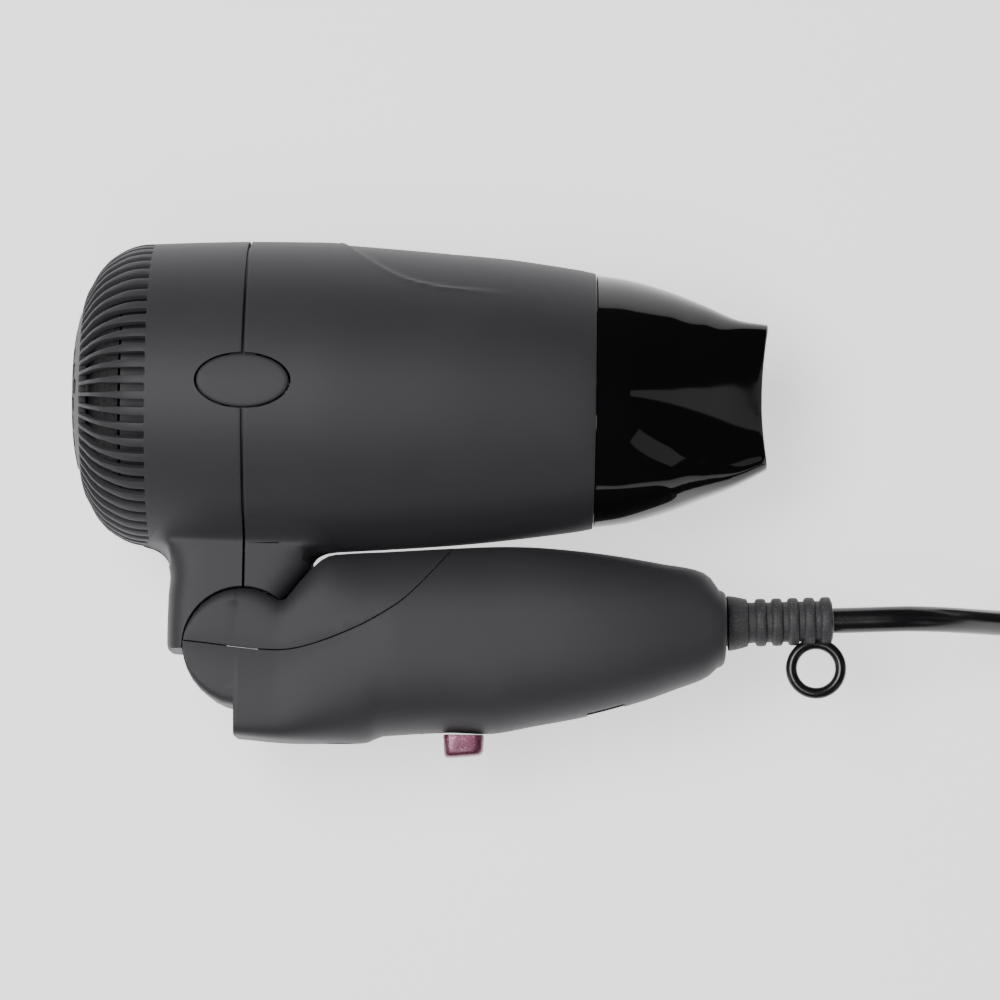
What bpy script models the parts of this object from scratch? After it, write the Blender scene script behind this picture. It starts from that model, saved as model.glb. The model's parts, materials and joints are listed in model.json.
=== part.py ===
"""Folding travel hair dryer, lying folded on its side, with its coiled mains cord.

The design frame has its origin where the barrel's axis crosses the joint between the two
barrel housings: +X runs to the nozzle, +Y away from the handle, and Z = 0 is the plane in
which the handle folds. Lengths are written in millimetres and become metres in MM.
"""

import math

import bmesh
import bpy
from mathutils import Matrix, Vector

MM = 0.001
GAP = 0.3                      # clearance between neighbouring pieces
WALL = 1.8                     # moulded wall thickness

# Barrel: (position along the axis, radius) of the outside, from the rear to the front
BARREL_RADIUS = 35.9
REAR_OUTSIDE = [(-39.6, 17.0), (-38.3, 20.9), (-36.5, 25.4), (-34.7, 28.6), (-31.9, 31.6),
                (-27.3, 34.2), (-22.6, 35.0), (-GAP / 2, BARREL_RADIUS)]
FRONT_OUTSIDE = [(GAP / 2, BARREL_RADIUS), (18.9, BARREL_RADIUS), (29.3, 35.3), (46.7, 34.0),
                 (60.5, 32.5), (74.4, 30.6), (79.0, 29.8)]
SLOT_COUNT = 60                # meridional air slots round the rear
SLOT_WIDTH = 1.6
SLOT_REAR_RADIUS = 22.5
SLOT_FRONT_X = -22.3
SCREEN_X = -40.4               # outer face of the honeycomb intake screen
SCREEN_RADIUS = 16.7
SCREEN_THICKNESS = 1.6
CELL_PITCH = 4.5
CELL_RADIUS = 2.05

# Neck below the barrel, and the hinge that the handle folds on
HINGE = (0.0, -58.8)
HEAD_RADIUS = 13.6
SEAT_RADIUS = HEAD_RADIUS + GAP
NECK_HALF_WIDTH = 15.0
NECK_END_Y = -59.3
FOLD_STOP_X = -1.8             # step on the handle's back that the open neck stops against
TONGUE_HALF_WIDTH = 6.4
CHEEK_INNER_Z = 8.0
PIN_RADIUS = 3.6

# Handle: outline at the fold plane, from the hinge head to the cord end
HANDLE_TOP = [(8.8, -48.4), (13.5, -42.4), (18.2, -37.3), (22.8, -36.5), (33.2, -35.7), (48.2, -34.7),
              (58.6, -34.2), (67.8, -34.2), (81.7, -35.5), (95.6, -37.6), (106.0, -39.8), (109.5, -44.1)]
HANDLE_BACK = [(FOLD_STOP_X, -78.9), (9.4, -79.9), (19.8, -80.0), (28.2, -79.8), (31.4, -78.4),
               (33.7, -78.1), (46.8, -77.0), (57.2, -77.3), (66.2, -75.6), (78.9, -73.0), (91.8, -69.3),
               (99.6, -66.4), (106.5, -63.6), (109.5, -60.9)]
HANDLE_END_X = 110.6
HANDLE_HALF_WIDTH = 17.0
HEAD_HALF_WIDTH = 15.5
PARTING = [(-20.0, -57.4), (-13.3, -57.6), (-3.7, -58.6), (3.2, -59.3), (9.2, -59.4), (14.6, -58.4),
           (21.4, -56.0), (28.3, -52.8), (35.1, -48.6), (39.5, -44.7), (44.1, -39.6), (48.4, -34.3),
           (52.0, -28.0)]

# Controls on the handle's back
KNOB_X = 50.7
KNOB_LENGTH = 9.4
KNOB_TIP_Y = -82.7
KNOB_BASE_Y = -77.7
KNOB_TRAVEL = 8.0
DIAL_X = 83.2
DIAL_Y = -70.9
DIAL_RADIUS = 4.0
DIAL_TILT = math.atan2(2.3, 9.0)

# Cord end of the handle
BOOT_START = (110.5, -51.1)
BOOT_END = (135.3, -50.1)
RIB_COUNT = 5
RIB_PITCH = 3.75
RIB_RADIUS = 5.5
GROOVE_RADIUS = 4.65
RING_CENTRE = (131.7, -61.2)
RING_RADIUS = 5.7
RING_WIRE = 1.3

# Cord, coil and plug; the plug is a two-pin contour plug lying on the coil
CORD_DIAMETER = 5.9
COIL_CENTRE = (224.0, -9.6)
COIL_MID_RADIUS = 32.5
COIL_BUNDLE = 17.7
COIL_LIFT = 0.9
TIE_THICKNESS = 0.6
TIE_WIDTH = 9.0
TIE_SLACK = 1.0                # the coil curves inside the straight tie
PLUG_AXIS_Y = -34.1
PLUG_REAR_X = 236.0
PLUG_LENGTH = 34.0
PLUG_WIDTH = 35.4
PLUG_HEIGHT = 25.0
PLUG_PIN_LENGTH = 19.0
PLUG_PIN_RADIUS = 2.4
PLUG_PIN_SPACING = 19.0
PLUG_PIN_SEAT = 3.0             # depth that each pin is moulded into the plug

# World place of the design frame: the dryer without its cord is centred over the origin
DRYER_REAR_X = SCREEN_X
DRYER_FRONT_X = RING_CENTRE[0] + RING_RADIUS + RING_WIRE
FRAME_X = -(DRYER_REAR_X + DRYER_FRONT_X) / 2
FRAME_Y = -(KNOB_TIP_Y + BARREL_RADIUS) / 2
FRAME_Z = BARREL_RADIUS
FLOOR = -FRAME_Z               # height of the floor in the design frame

FINISHES = {                   # slot: colour, roughness, metallic
    "charcoal_shell": ((0.042, 0.040, 0.045, 1.0), 0.55, 0.0),
    "nozzle_black": ((0.006, 0.006, 0.007, 1.0), 0.06, 0.0),
    "violet_knob": ((0.16, 0.045, 0.10, 1.0), 0.30, 0.2),
    "dark_plastic": ((0.02, 0.02, 0.022, 1.0), 0.45, 0.0),
    "boot_rubber": ((0.018, 0.018, 0.019, 1.0), 0.65, 0.0),
    "cord_pvc": ((0.012, 0.012, 0.013, 1.0), 0.22, 0.0),
    "steel": ((0.55, 0.55, 0.54, 1.0), 0.30, 1.0),
    "brass": ((0.72, 0.52, 0.22, 1.0), 0.28, 1.0),
    "mica": ((0.62, 0.55, 0.42, 1.0), 0.40, 0.0),
    "heating_wire": ((0.42, 0.40, 0.38, 1.0), 0.35, 1.0),
    "circuit_board": ((0.10, 0.20, 0.07, 1.0), 0.45, 0.0),
    "lead_wire": ((0.50, 0.03, 0.02, 1.0), 0.40, 0.0),
}


# ---------------------------------------------------------------- scene and placing

def clear_scene():
    for thing in list(bpy.data.objects):
        bpy.data.objects.remove(thing, do_unlink=True)


def make_collection(name):
    collection = bpy.data.collections.new(name)
    bpy.context.scene.collection.children.link(collection)
    return collection


def make_material(slot):
    colour, roughness, metallic = FINISHES[slot]
    material = bpy.data.materials.new(slot)
    material.use_nodes = True
    shader = material.node_tree.nodes["Principled BSDF"]
    shader.inputs["Base Color"].default_value = colour
    shader.inputs["Roughness"].default_value = roughness
    shader.inputs["Metallic"].default_value = metallic
    material.diffuse_color = colour
    return material


clear_scene()
PARTS = make_collection("travel_hair_dryer")
CUTTERS = make_collection("cutters")
MATERIALS = {slot: make_material(slot) for slot in FINISHES}


def make_empty(name, location, parent=None, rotation=(0, 0, 0)):
    empty = bpy.data.objects.new(name, None)
    empty.empty_display_size = 0.01
    empty.location = Vector(location) * MM
    empty.rotation_euler = rotation
    empty.parent = parent
    PARTS.objects.link(empty)
    return empty


HANDLE_FRAME = make_empty("handle_frame", (FRAME_X, FRAME_Y, FRAME_Z))
FOLD = make_empty("barrel_fold", (*HINGE, 0), HANDLE_FRAME)
BARREL_FRAME = make_empty("barrel_frame", (-HINGE[0], -HINGE[1], 0), FOLD)
ALONG_BARREL = (0, math.radians(90), 0)      # a turned piece's Z becomes the barrel's X
BARREL_AXIS = make_empty("barrel_axis", (0, 0, 0), BARREL_FRAME, ALONG_BARREL)
FAN_AXIS = make_empty("fan_spin", (0, 0, 0), BARREL_FRAME, ALONG_BARREL)
NOZZLE_AXIS = make_empty("nozzle_turn", (0, 0, 0), BARREL_FRAME, ALONG_BARREL)
KNOB_AXIS = make_empty("switch_slide", (KNOB_X, KNOB_BASE_Y, 0), HANDLE_FRAME)
DIAL_AXIS = make_empty("voltage_selector", (DIAL_X, DIAL_Y, 0), HANDLE_FRAME,
                       (math.radians(90), 0, DIAL_TILT))


def place(thing, slot, parent, location=(0, 0, 0), rotation=(0, 0, 0)):
    """Link a piece into the parts with its finish, or a cutter when it has no finish."""
    thing.location = Vector(location) * MM
    thing.rotation_euler = rotation
    thing.parent = parent
    if slot is None:
        CUTTERS.objects.link(thing)
        thing.hide_render = True
        thing.display_type = "WIRE"
        return thing
    PARTS.objects.link(thing)
    thing.data.materials.append(MATERIALS[slot])
    return thing


# ---------------------------------------------------------------- shapes, in millimetres

def mesh_object(name, bm):
    mesh = bpy.data.meshes.new(name)
    bmesh.ops.scale(bm, vec=(MM, MM, MM), verts=bm.verts)
    bm.to_mesh(mesh)
    bm.free()
    return bpy.data.objects.new(name, mesh)


def smooth(thing, degrees=35):
    thing.data.shade_smooth()
    thing.data.set_sharp_from_angle(angle=math.radians(degrees))
    return thing


def box(name, low, high, bevel=0.0):
    bm = bmesh.new()
    bmesh.ops.create_cube(bm, size=1.0)
    size = [b - a for a, b in zip(low, high)]
    centre = [(a + b) / 2 for a, b in zip(low, high)]
    bmesh.ops.scale(bm, vec=size, verts=bm.verts)
    bmesh.ops.translate(bm, vec=centre, verts=bm.verts)
    thing = mesh_object(name, bm)
    if bevel:
        rounding = thing.modifiers.new("rounding", "BEVEL")
        rounding.width = bevel * MM
        rounding.segments = 2
    return thing


def rod(name, start, end, radius, end_radius=None, segments=20):
    """A cylinder or cone between two points."""
    start = Vector(start)
    end = Vector(end)
    way = end - start
    bm = bmesh.new()
    bmesh.ops.create_cone(bm, cap_ends=True, cap_tris=False, segments=segments, radius1=radius,
                          radius2=radius if end_radius is None else end_radius, depth=way.length)
    turn = way.to_track_quat("Z", "Y").to_matrix().to_4x4()
    bmesh.ops.transform(bm, matrix=Matrix.Translation((start + end) / 2) @ turn, verts=bm.verts)
    return smooth(mesh_object(name, bm))


def turned(name, profile, steps=60):
    """Spin (position, radius) points about Z. They run down the outer side, top to bottom."""
    bm = bmesh.new()
    points = [bm.verts.new((radius, 0.0, along)) for along, radius in profile]
    for first, second in zip(points, points[1:]):
        bm.edges.new((first, second))
    if profile[0][1] > 0.0:
        bm.edges.new((points[-1], points[0]))
    thing = mesh_object(name, bm)
    screw = thing.modifiers.new("turn", "SCREW")
    screw.steps = steps
    screw.render_steps = steps
    screw.use_merge_vertices = True
    screw.merge_threshold = 0.00001
    screw.use_smooth_shade = True
    return thing


def inset(profile, depth):
    """The same profile moved towards the axis side by a wall's thickness."""
    moved = []
    for index, (along, radius) in enumerate(profile):
        before = Vector(profile[max(index - 1, 0)])
        after = Vector(profile[min(index + 1, len(profile) - 1)])
        slope = (after - before).normalized()
        moved.append((along + slope.y * depth, radius - slope.x * depth))
    return moved


def solid_mesh(thing):
    """A curve object's closed mesh, its caps welded, as a new object in the same place."""
    bpy.context.scene.collection.objects.link(thing)
    graph = bpy.context.evaluated_depsgraph_get()
    mesh = bpy.data.meshes.new_from_object(thing.evaluated_get(graph))
    bm = bmesh.new()
    bm.from_mesh(mesh)
    bmesh.ops.remove_doubles(bm, verts=bm.verts, dist=0.000002)
    bm.to_mesh(mesh)
    bm.free()
    name = thing.name
    place_in_world = thing.matrix_world.copy()
    bpy.data.objects.remove(thing, do_unlink=True)
    solid = bpy.data.objects.new(name, mesh)
    solid.matrix_world = place_in_world
    return solid


def plate(name, outlines, low_z, high_z):
    """Outlines in XY, the later ones holes in the first, extruded between two heights."""
    curve = bpy.data.curves.new(name, "CURVE")
    curve.dimensions = "2D"
    curve.fill_mode = "BOTH"
    curve.extrude = (high_z - low_z) / 2 * MM
    for outline in outlines:
        spline = curve.splines.new("POLY")
        spline.points.add(len(outline) - 1)
        for point, (x, y) in zip(spline.points, outline):
            point.co = (x * MM, y * MM, 0.0, 1.0)
        spline.use_cyclic_u = True
    solid = solid_mesh(bpy.data.objects.new(name, curve))
    solid.data.transform(Matrix.Translation((0, 0, (low_z + high_z) / 2 * MM)))
    return smooth(solid, 30)


def tube(name, points, radius, resolution=2):
    """A round wire through the points, with filled ends."""
    curve = bpy.data.curves.new(name, "CURVE")
    curve.dimensions = "3D"
    curve.bevel_depth = radius * MM
    curve.bevel_resolution = resolution
    curve.use_fill_caps = True
    spline = curve.splines.new("POLY")
    spline.points.add(len(points) - 1)
    for point, place_at in zip(spline.points, points):
        point.co = (*(Vector(place_at) * MM), 1.0)
    spline.use_smooth = True
    return bpy.data.objects.new(name, curve)


def loft(name, rings, ring_of_rings=False):
    """Join rings of equally many points; capped at both ends, or closed on itself."""
    bm = bmesh.new()
    loops = [[bm.verts.new(point) for point in ring] for ring in rings]
    pairs = list(zip(loops, loops[1:]))
    if ring_of_rings:
        pairs.append((loops[-1], loops[0]))
    for first, second in pairs:
        for index in range(len(first)):
            following = (index + 1) % len(first)
            bm.faces.new((first[index], first[following], second[following], second[index]))
    if not ring_of_rings:
        bm.faces.new(list(reversed(loops[0])))
        bm.faces.new(loops[-1])
    bmesh.ops.recalc_face_normals(bm, faces=bm.faces)
    return smooth(mesh_object(name, bm))


def arc(centre, radius, start, end, count):
    """Points on an arc, angles in degrees, both ends included."""
    turns = [math.radians(start + (end - start) * index / (count - 1)) for index in range(count)]
    return [(centre[0] + radius * math.cos(turn), centre[1] + radius * math.sin(turn)) for turn in turns]


def circle(centre, radius, count=32):
    return arc(centre, radius, 0, 360 * (count - 1) / count, count)


def smooth_route(points, spacing):
    """A Catmull-Rom curve through the points, read at about the given spacing."""
    route = [Vector(point) for point in points]
    padded = [route[0] * 2 - route[1], *route, route[-1] * 2 - route[-2]]
    result = []
    for before, start, end, after in zip(padded, padded[1:], padded[2:], padded[3:]):
        count = max(1, round((end - start).length / spacing))
        for index in range(count):
            t = index / count
            result.append(0.5 * (2 * start + (end - before) * t
                                 + (2 * before - 5 * start + 4 * end - after) * t * t
                                 + (3 * start - before - 3 * end + after) * t * t * t))
    return [*result, route[-1]]


def combine(thing, tool, operation="DIFFERENCE", solver="EXACT"):
    modifier = thing.modifiers.new(tool.name, "BOOLEAN")
    modifier.operation = operation
    modifier.object = tool
    modifier.solver = solver
    return thing


def join_loose(name, things):
    """One mesh object that holds several separate closed shapes, for use as a cutter."""
    bm = bmesh.new()
    for thing in things:
        bm.from_mesh(thing.data)
        bpy.data.objects.remove(thing, do_unlink=True)
    mesh = bpy.data.meshes.new(name)
    bm.to_mesh(mesh)
    bm.free()
    return bpy.data.objects.new(name, mesh)


# ---------------------------------------------------------------- barrel

def neck_outline():
    """The neck's outline at the fold plane, whole, down to its concave seat."""
    left = [(-26.0, -33.0), (-25.7, -34.6), (-20.4, -35.9), (-18.3, -38.0), (-17.4, -42.0), (-17.6, -58.1),
            (-17.2, NECK_END_Y), (-SEAT_RADIUS, NECK_END_Y)]
    seat = arc(HINGE, SEAT_RADIUS, 180, 58, 15)
    right = [(9.6, -46.6), (15.0, -39.7), (16.6, -36.9), (19.4, -35.7), (24.0, -34.8), (24.0, -33.0)]
    return left + seat + right


def neck_half(side):
    """Half of the neck, cut at the joint and hollowed to the barrel's wall."""
    neck = plate(f"neck_form_{side}", [neck_outline()], -NECK_HALF_WIDTH, NECK_HALF_WIDTH)
    edges = neck.modifiers.new("edges", "BEVEL")
    edges.width = 1.2 * MM
    edges.segments = 2
    edges.limit_method = "ANGLE"
    edges.angle_limit = math.radians(60)
    place(neck, None, BARREL_FRAME)
    other_side = (-GAP / 2, 60.0) if side == "rear" else (-60.0, GAP / 2)
    half_cut = box(f"neck_cut_{side}", (other_side[0], -90, -40), (other_side[1], 0, 40))
    combine(neck, place(half_cut, None, BARREL_FRAME))
    inside = rod(f"neck_bore_{side}", (-60, 0, 0), (60, 0, 0), 34.6, segments=60)
    combine(neck, place(inside, None, BARREL_FRAME))
    return neck


def oval(scale_x, scale_y):
    return [(x * scale_x, y * scale_y) for x, y in arc((0, 0), 1.0, 5, 353, 30)]


def housing(name, outside, side, steps):
    """A turned shell of the barrel with its half of the neck."""
    shell = turned(name, outside, steps)
    place(shell, "charcoal_shell", BARREL_AXIS)
    combine(shell, neck_half(side), "UNION")
    cavity = box(f"neck_cavity_{side}", (-11.5, -42.4, -12), (10.0, -30, 12))
    combine(shell, place(cavity, None, BARREL_FRAME))
    tongue_way = box(f"tongue_way_{side}", (-6.0, -50, -TONGUE_HALF_WIDTH - 0.6),
                     (6.0, -40, TONGUE_HALF_WIDTH + 0.6))
    combine(shell, place(tongue_way, None, BARREL_FRAME))
    recess = plate(f"cap_recess_{side}", [oval(10.4 + GAP, 6.0 + GAP)], -40, 40)
    combine(shell, place(recess, None, BARREL_FRAME))
    return shell


def make_housings():
    coarse = [REAR_OUTSIDE[index] for index in (0, 2, 4, 6, 7)]
    rear_inside = inset(coarse, WALL)
    rear = housing("rear_housing", list(reversed(REAR_OUTSIDE)) + [(REAR_OUTSIDE[0][0] + WALL, 17.0)]
                   + rear_inside[1:-1] + [(-GAP / 2, BARREL_RADIUS - WALL)], "rear", SLOT_COUNT)
    slots = []
    for index in range(SLOT_COUNT):
        slot = box("slot", (-50, SLOT_REAR_RADIUS, -SLOT_WIDTH / 2), (SLOT_FRONT_X, 42, SLOT_WIDTH / 2))
        slot.data.transform(Matrix.Rotation(math.radians(360 * (index + 0.5) / SLOT_COUNT), 4, "X"))
        slots.append(slot)
    combine(rear, place(join_loose("air_slots", slots), None, BARREL_FRAME))
    front_inside = inset(FRONT_OUTSIDE, WALL)
    housing("front_housing", list(reversed(FRONT_OUTSIDE)) + [(GAP / 2, BARREL_RADIUS - WALL)]
            + front_inside[1:-1] + [(79.0, 28.0)], "front", 40)


def make_intake_screen():
    cells = []
    rows = 3
    for row in range(-rows, rows + 1):
        for column in range(-rows, rows + 1):
            if abs(row + column) > rows:
                continue
            centre = ((column + row / 2) * CELL_PITCH, row * CELL_PITCH * math.sqrt(3) / 2)
            cells.append(arc(centre, CELL_RADIUS, 30, 330, 6))
    screen = plate("intake_screen", [circle((0, 0), SCREEN_RADIUS, 30), *cells], 0, SCREEN_THICKNESS)
    place(screen, "charcoal_shell", BARREL_AXIS, (0, 0, SCREEN_X))


def make_dust_filter():
    """Gauze cone inside the slotted part of the rear; its fine mesh is a closed skin here."""
    outside = [(-28.4, 30.2), (-29.6, 29.6), (-31.9, 27.4), (-33.7, 24.8), (-35.4, 21.8), (-37.2, 16.7),
               (-38.5, 16.7)]
    inside = [(-38.5, 15.7), (-36.4, 15.7), (-34.6, 21.2), (-33.0, 24.1), (-31.3, 26.5), (-29.3, 28.6),
              (-28.4, 29.2)]
    place(turned("dust_filter", outside + inside, 36), "dark_plastic", BARREL_AXIS)


def make_side_caps():
    """Oval caps flush with the barrel, each with a peg that ties the two housings together."""
    for side, sign in (("left", 1), ("right", -1)):
        cap = plate(f"side_cap_{side}", [oval(10.4, 6.0)], -4, 4)
        place(cap, "charcoal_shell", BARREL_FRAME, (0, 0, sign * 35))
        skin = turned(f"cap_skin_{side}", [(20, BARREL_RADIUS), (-20, BARREL_RADIUS),
                                           (-20, BARREL_RADIUS - WALL), (20, BARREL_RADIUS - WALL)], 120)
        combine(cap, place(skin, None, BARREL_AXIS), "INTERSECT")
        peg = box(f"cap_peg_{side}", (-6, -2.5, 32.4), (6, 2.5, 34.9))
        if sign < 0:
            peg.data.transform(Matrix.Rotation(math.pi, 4, "X"))
        combine(cap, place(peg, None, BARREL_FRAME), "UNION")


def make_nozzle():
    """A round base that flattens to a tall, narrow slot, with a sleeve inside the barrel."""
    count = 32
    stations = [(80.2, 29.2, 29.2, 29.2), (88.2, 28.1, 28.1, 27.0), (95.2, 26.1, 26.1, 23.2),
                (102.1, 23.9, 23.9, 18.6), (109.0, 20.8, 20.8, 13.6), (112.5, 19.1, 19.1, 11.2),
                (116.5, 18.3, 17.6, 8.9), (119.7, 18.2, 15.5, 7.6)]

    def section(along, top, bottom, depth, shrink):
        ring = []
        for index in range(count):
            turn = 2 * math.pi * index / count
            height = (top if math.sin(turn) > 0 else bottom) - shrink
            ring.append((along, height * math.sin(turn), (depth - shrink) * math.cos(turn)))
        return ring

    outer = [section(*station, 0) for station in stations]
    inner = [section(*station, 1.6) for station in reversed(stations[1:])]
    sleeve = [section(80.2, 25.8, 25.8, 25.8, 0), section(73.0, 25.8, 25.8, 25.8, 0),
              section(73.0, 27.3, 27.3, 27.3, 0), section(80.2, 27.3, 27.3, 27.3, 0)]
    nozzle = loft("nozzle", outer + inner + sleeve, ring_of_rings=True)
    nozzle.data.transform(Matrix.Rotation(math.radians(-90), 4, "Y"))
    place(nozzle, "nozzle_black", NOZZLE_AXIS)


def ring_sector(inner, outer, start, end):
    return arc((0, 0), outer, start, end, 4) + arc((0, 0), inner, end, start, 4)


def make_outlet_grille():
    """Round guard of bars behind the nozzle, seated in the front of the barrel."""
    holes = []
    for inner, outer, count in ((3.0, 9.5, 4), (11.0, 17.5, 6), (19.0, 25.0, 8)):
        step = 360 / count
        margin = math.degrees(1.4 / (2 * inner)) * 1.4
        holes += [ring_sector(inner, outer, index * step + margin, (index + 1) * step - margin)
                  for index in range(count)]
    grille = plate("outlet_grille", [circle((0, 0), 28.2, 32), *holes], 0, 2.0)
    place(grille, "dark_plastic", BARREL_AXIS, (0, 0, 70.5))


def make_air_path():
    shroud = turned("fan_shroud", [(-5.0, 31.6), (-27.8, 30.6), (-27.8, 29.5), (-5.0, 30.3)], 36)
    place(shroud, "charcoal_shell", BARREL_AXIS)
    cup = turned("motor_cup", [(8.0, 16.2), (-8.0, 16.2), (-8.0, 14.6), (8.0, 14.6)], 24)
    combine(shroud, place(cup, None, BARREL_AXIS), "UNION")
    for index in range(6):
        vane = box(f"vane_{index}", (-8.0, 15.4, -0.6), (-5.6, 31.0, 0.6))
        combine(shroud, place(vane, None, BARREL_FRAME, (0, 0, 0), (math.radians(60 * index + 30), 0, 0)), "UNION")
    impeller = turned("impeller", [(-14.0, 0.0), (-14.0, 9.0), (-22.0, 8.0), (-24.0, 5.0), (-24.0, 0.0)], 24)
    place(impeller, "dark_plastic", FAN_AXIS)
    for index in range(7):
        blade = box(f"blade_{index}", (-5.5, 7.0, -0.7), (5.5, 28.6, 0.7))
        blade.data.transform(Matrix.Translation((-19.0 * MM, 0, 0)) @ Matrix.Rotation(math.radians(38), 4, "Y"))
        blade.data.transform(Matrix.Rotation(math.radians(360 * index / 7), 4, "X"))
        combine(impeller, place(blade, None, BARREL_FRAME), "UNION")
    shaft_hole = rod("shaft_hole", (-19, 0, 0), (0, 0, 0), 1.3, segments=16)
    combine(impeller, place(shaft_hole, None, BARREL_FRAME))
    shaft = rod("motor_shaft", (0, 0, -18.7), (0, 0, 19.0), 1.0, segments=16)
    place(shaft, "steel", FAN_AXIS)


def make_motor():
    motor = turned("motor", [(16.0, 4.0), (16.0, 13.0), (15.0, 14.2), (-9.0, 14.2), (-10.0, 13.2), (-10.0, 5.0),
                             (-12.0, 5.0), (-12.0, 1.3), (20.0, 1.3), (20.0, 4.0)], 24)
    place(motor, "steel", BARREL_AXIS)
    board = plate("rectifier_board", [circle((0, 0), 12.0, 32), circle((0, 0), 4.6, 16)], 0, 1.2)
    place(board, "circuit_board", BARREL_AXIS, (0, 0, 16.4))
    for index in range(4):
        diode = rod(f"diode_{index}", (17.0, -2.4, 8.2), (21.5, -2.4, 8.2), 1.4, segments=10)
        turn = (math.radians(90 * index + 20), 0, 0)
        combine(board, place(diode, None, BARREL_FRAME, (0, 0, 0), turn), "UNION")


def make_heater():
    """Two crossed mica boards with a heating coil round each end, inside a mica tube."""
    level = plate("heater_board_a", [[(24.0, -22.1), (66.0, -22.1), (66.0, 22.1), (24.0, 22.1),
                                      (24.0, 0.7), (45.0, 0.7), (45.0, -0.7), (24.0, -0.7)]], -0.4, 0.4)
    place(level, "mica", BARREL_FRAME)
    upright = plate("heater_board_b", [[(24.0, -22.1), (66.0, -22.1), (66.0, -0.7), (45.0, -0.7), (45.0, 0.7),
                                      (66.0, 0.7), (66.0, 22.1), (24.0, 22.1)]], -0.4, 0.4)
    place(upright, "mica", BARREL_FRAME, (0, 0, 0), (math.radians(90), 0, 0))
    for name, start in (("heating_coil_rear", 28.0), ("heating_coil_front", 47.5)):
        turns = 4
        per_turn = 10
        points = []
        for index in range(turns * per_turn + 1):
            turn = 2 * math.pi * index / per_turn
            points.append((start + 3.6 * index / per_turn, 24.2 * math.cos(turn), 24.2 * math.sin(turn)))
        place(tube(name, points, 0.5, 1), "heating_wire", BARREL_FRAME)
    liner = turned("mica_liner", [(68.0, 27.0), (22.0, 27.0), (22.0, 26.4), (68.0, 26.4)], 36)
    place(liner, "mica", BARREL_AXIS)
    thermostat = rod("thermostat", (58.0, 12.0, 0.8), (58.0, 12.0, 5.4), 5.2, segments=20)
    place(thermostat, "steel", BARREL_FRAME)
    fuse = rod("thermal_fuse", (52.0, -12.0, -2.6), (63.0, -12.0, -2.6), 1.9, segments=14)
    place(fuse, "steel", BARREL_FRAME)


def make_hinge_tongue():
    """The barrel's half of the hinge: a ring round the pin, its stem clamped in the neck."""
    outline = arc(HINGE, 8.0, 128, 412, 26) + [(4.9, -42.0), (9.6, -42.0), (9.6, -38.0), (-9.6, -38.0),
                                                (-9.6, -42.0), (-4.9, -42.0)]
    tongue = plate("hinge_tongue", [outline, circle(HINGE, PIN_RADIUS + GAP, 24)],
                   -TONGUE_HALF_WIDTH, TONGUE_HALF_WIDTH)
    place(tongue, "dark_plastic", BARREL_FRAME)


def make_barrel_leads():
    for name, z in (("lead_heater", 3.5), ("lead_motor", -3.5)):
        route = smooth_route([(3.0, -37.2, z), (3.4, -34.0, z), (6.5, -30.0, z), (12.0, -25.0, z),
                              (17.0, -19.0, z), (20.5, -14.5, z)], 4.0)
        place(tube(name, route, 0.9, 1), "lead_wire", BARREL_FRAME)


# ---------------------------------------------------------------- handle

def between(points, x):
    for (x0, y0), (x1, y1) in zip(points, points[1:]):
        if x <= x1:
            return y0 + (y1 - y0) * max(0.0, x - x0) / (x1 - x0)
    return points[-1][1]


def handle_section(x, shrink, count=20):
    """One cross-section of the handle: a superellipse, flatter at the hinge head's cheeks."""
    head_rise = math.sqrt(max(HEAD_RADIUS ** 2 - x ** 2, 0.0)) if abs(x) < HEAD_RADIUS else 0.0
    top = HINGE[1] + head_rise if x < HANDLE_TOP[0][0] else between(HANDLE_TOP, x)
    back = HINGE[1] - head_rise if x < FOLD_STOP_X - 0.03 else between(HANDLE_BACK, x)
    along = min(max((x - 8.0) / 26.0, 0.0), 1.0)
    taper = max(0.0, (x - 70.0) / (HANDLE_END_X - 70.0))
    width = HEAD_HALF_WIDTH + (HANDLE_HALF_WIDTH - HEAD_HALF_WIDTH) * along - 4.5 * taper ** 2
    power = 2 / (5.0 - 2.2 * along)
    height = max((top - back) / 2 - shrink, 0.4)
    ring = []
    for index in range(count):
        turn = 2 * math.pi * (index + 0.5) / count
        across = math.copysign(abs(math.sin(turn)) ** power, math.sin(turn))
        up = math.copysign(abs(math.cos(turn)) ** power, math.cos(turn))
        ring.append((x, (top + back) / 2 + height * up, (width - shrink) * across))
    return ring


def scaled_section(ring, x, factor):
    middle = sum((Vector(point) for point in ring), Vector()) / len(ring)
    return [(x, middle.y + (y - middle.y) * factor, z * factor) for _, y, z in ring]


def handle_form(name):
    stations = [-13.5, -12.8, -10.6, -6.5, FOLD_STOP_X - 0.05, FOLD_STOP_X + 0.05, 4.0, 8.8, 18.2,
                22.8, 28.2, 31.4, 48.2, 66.2, 78.9, 91.8, 103.0, 109.0]
    rings = [handle_section(x, 0.0) for x in stations]
    rings.append(scaled_section(rings[-1], HANDLE_END_X, 0.84))
    return loft(name, rings)


def handle_hollow(name):
    stations = [15.0, 18.6, 31.4, 48.2, 66.2, 78.9, 91.8, 103.0, 108.6]
    return loft(name, [handle_section(x, WALL) for x in stations])


def parting_region(name, shift):
    """Everything on the cover's side of the S-shaped parting line."""
    line = [(x, y + shift) for x, y in PARTING]
    return plate(name, [line + [(52.0, 0.0), (-20.0, 0.0)]], -30, 30)


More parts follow.
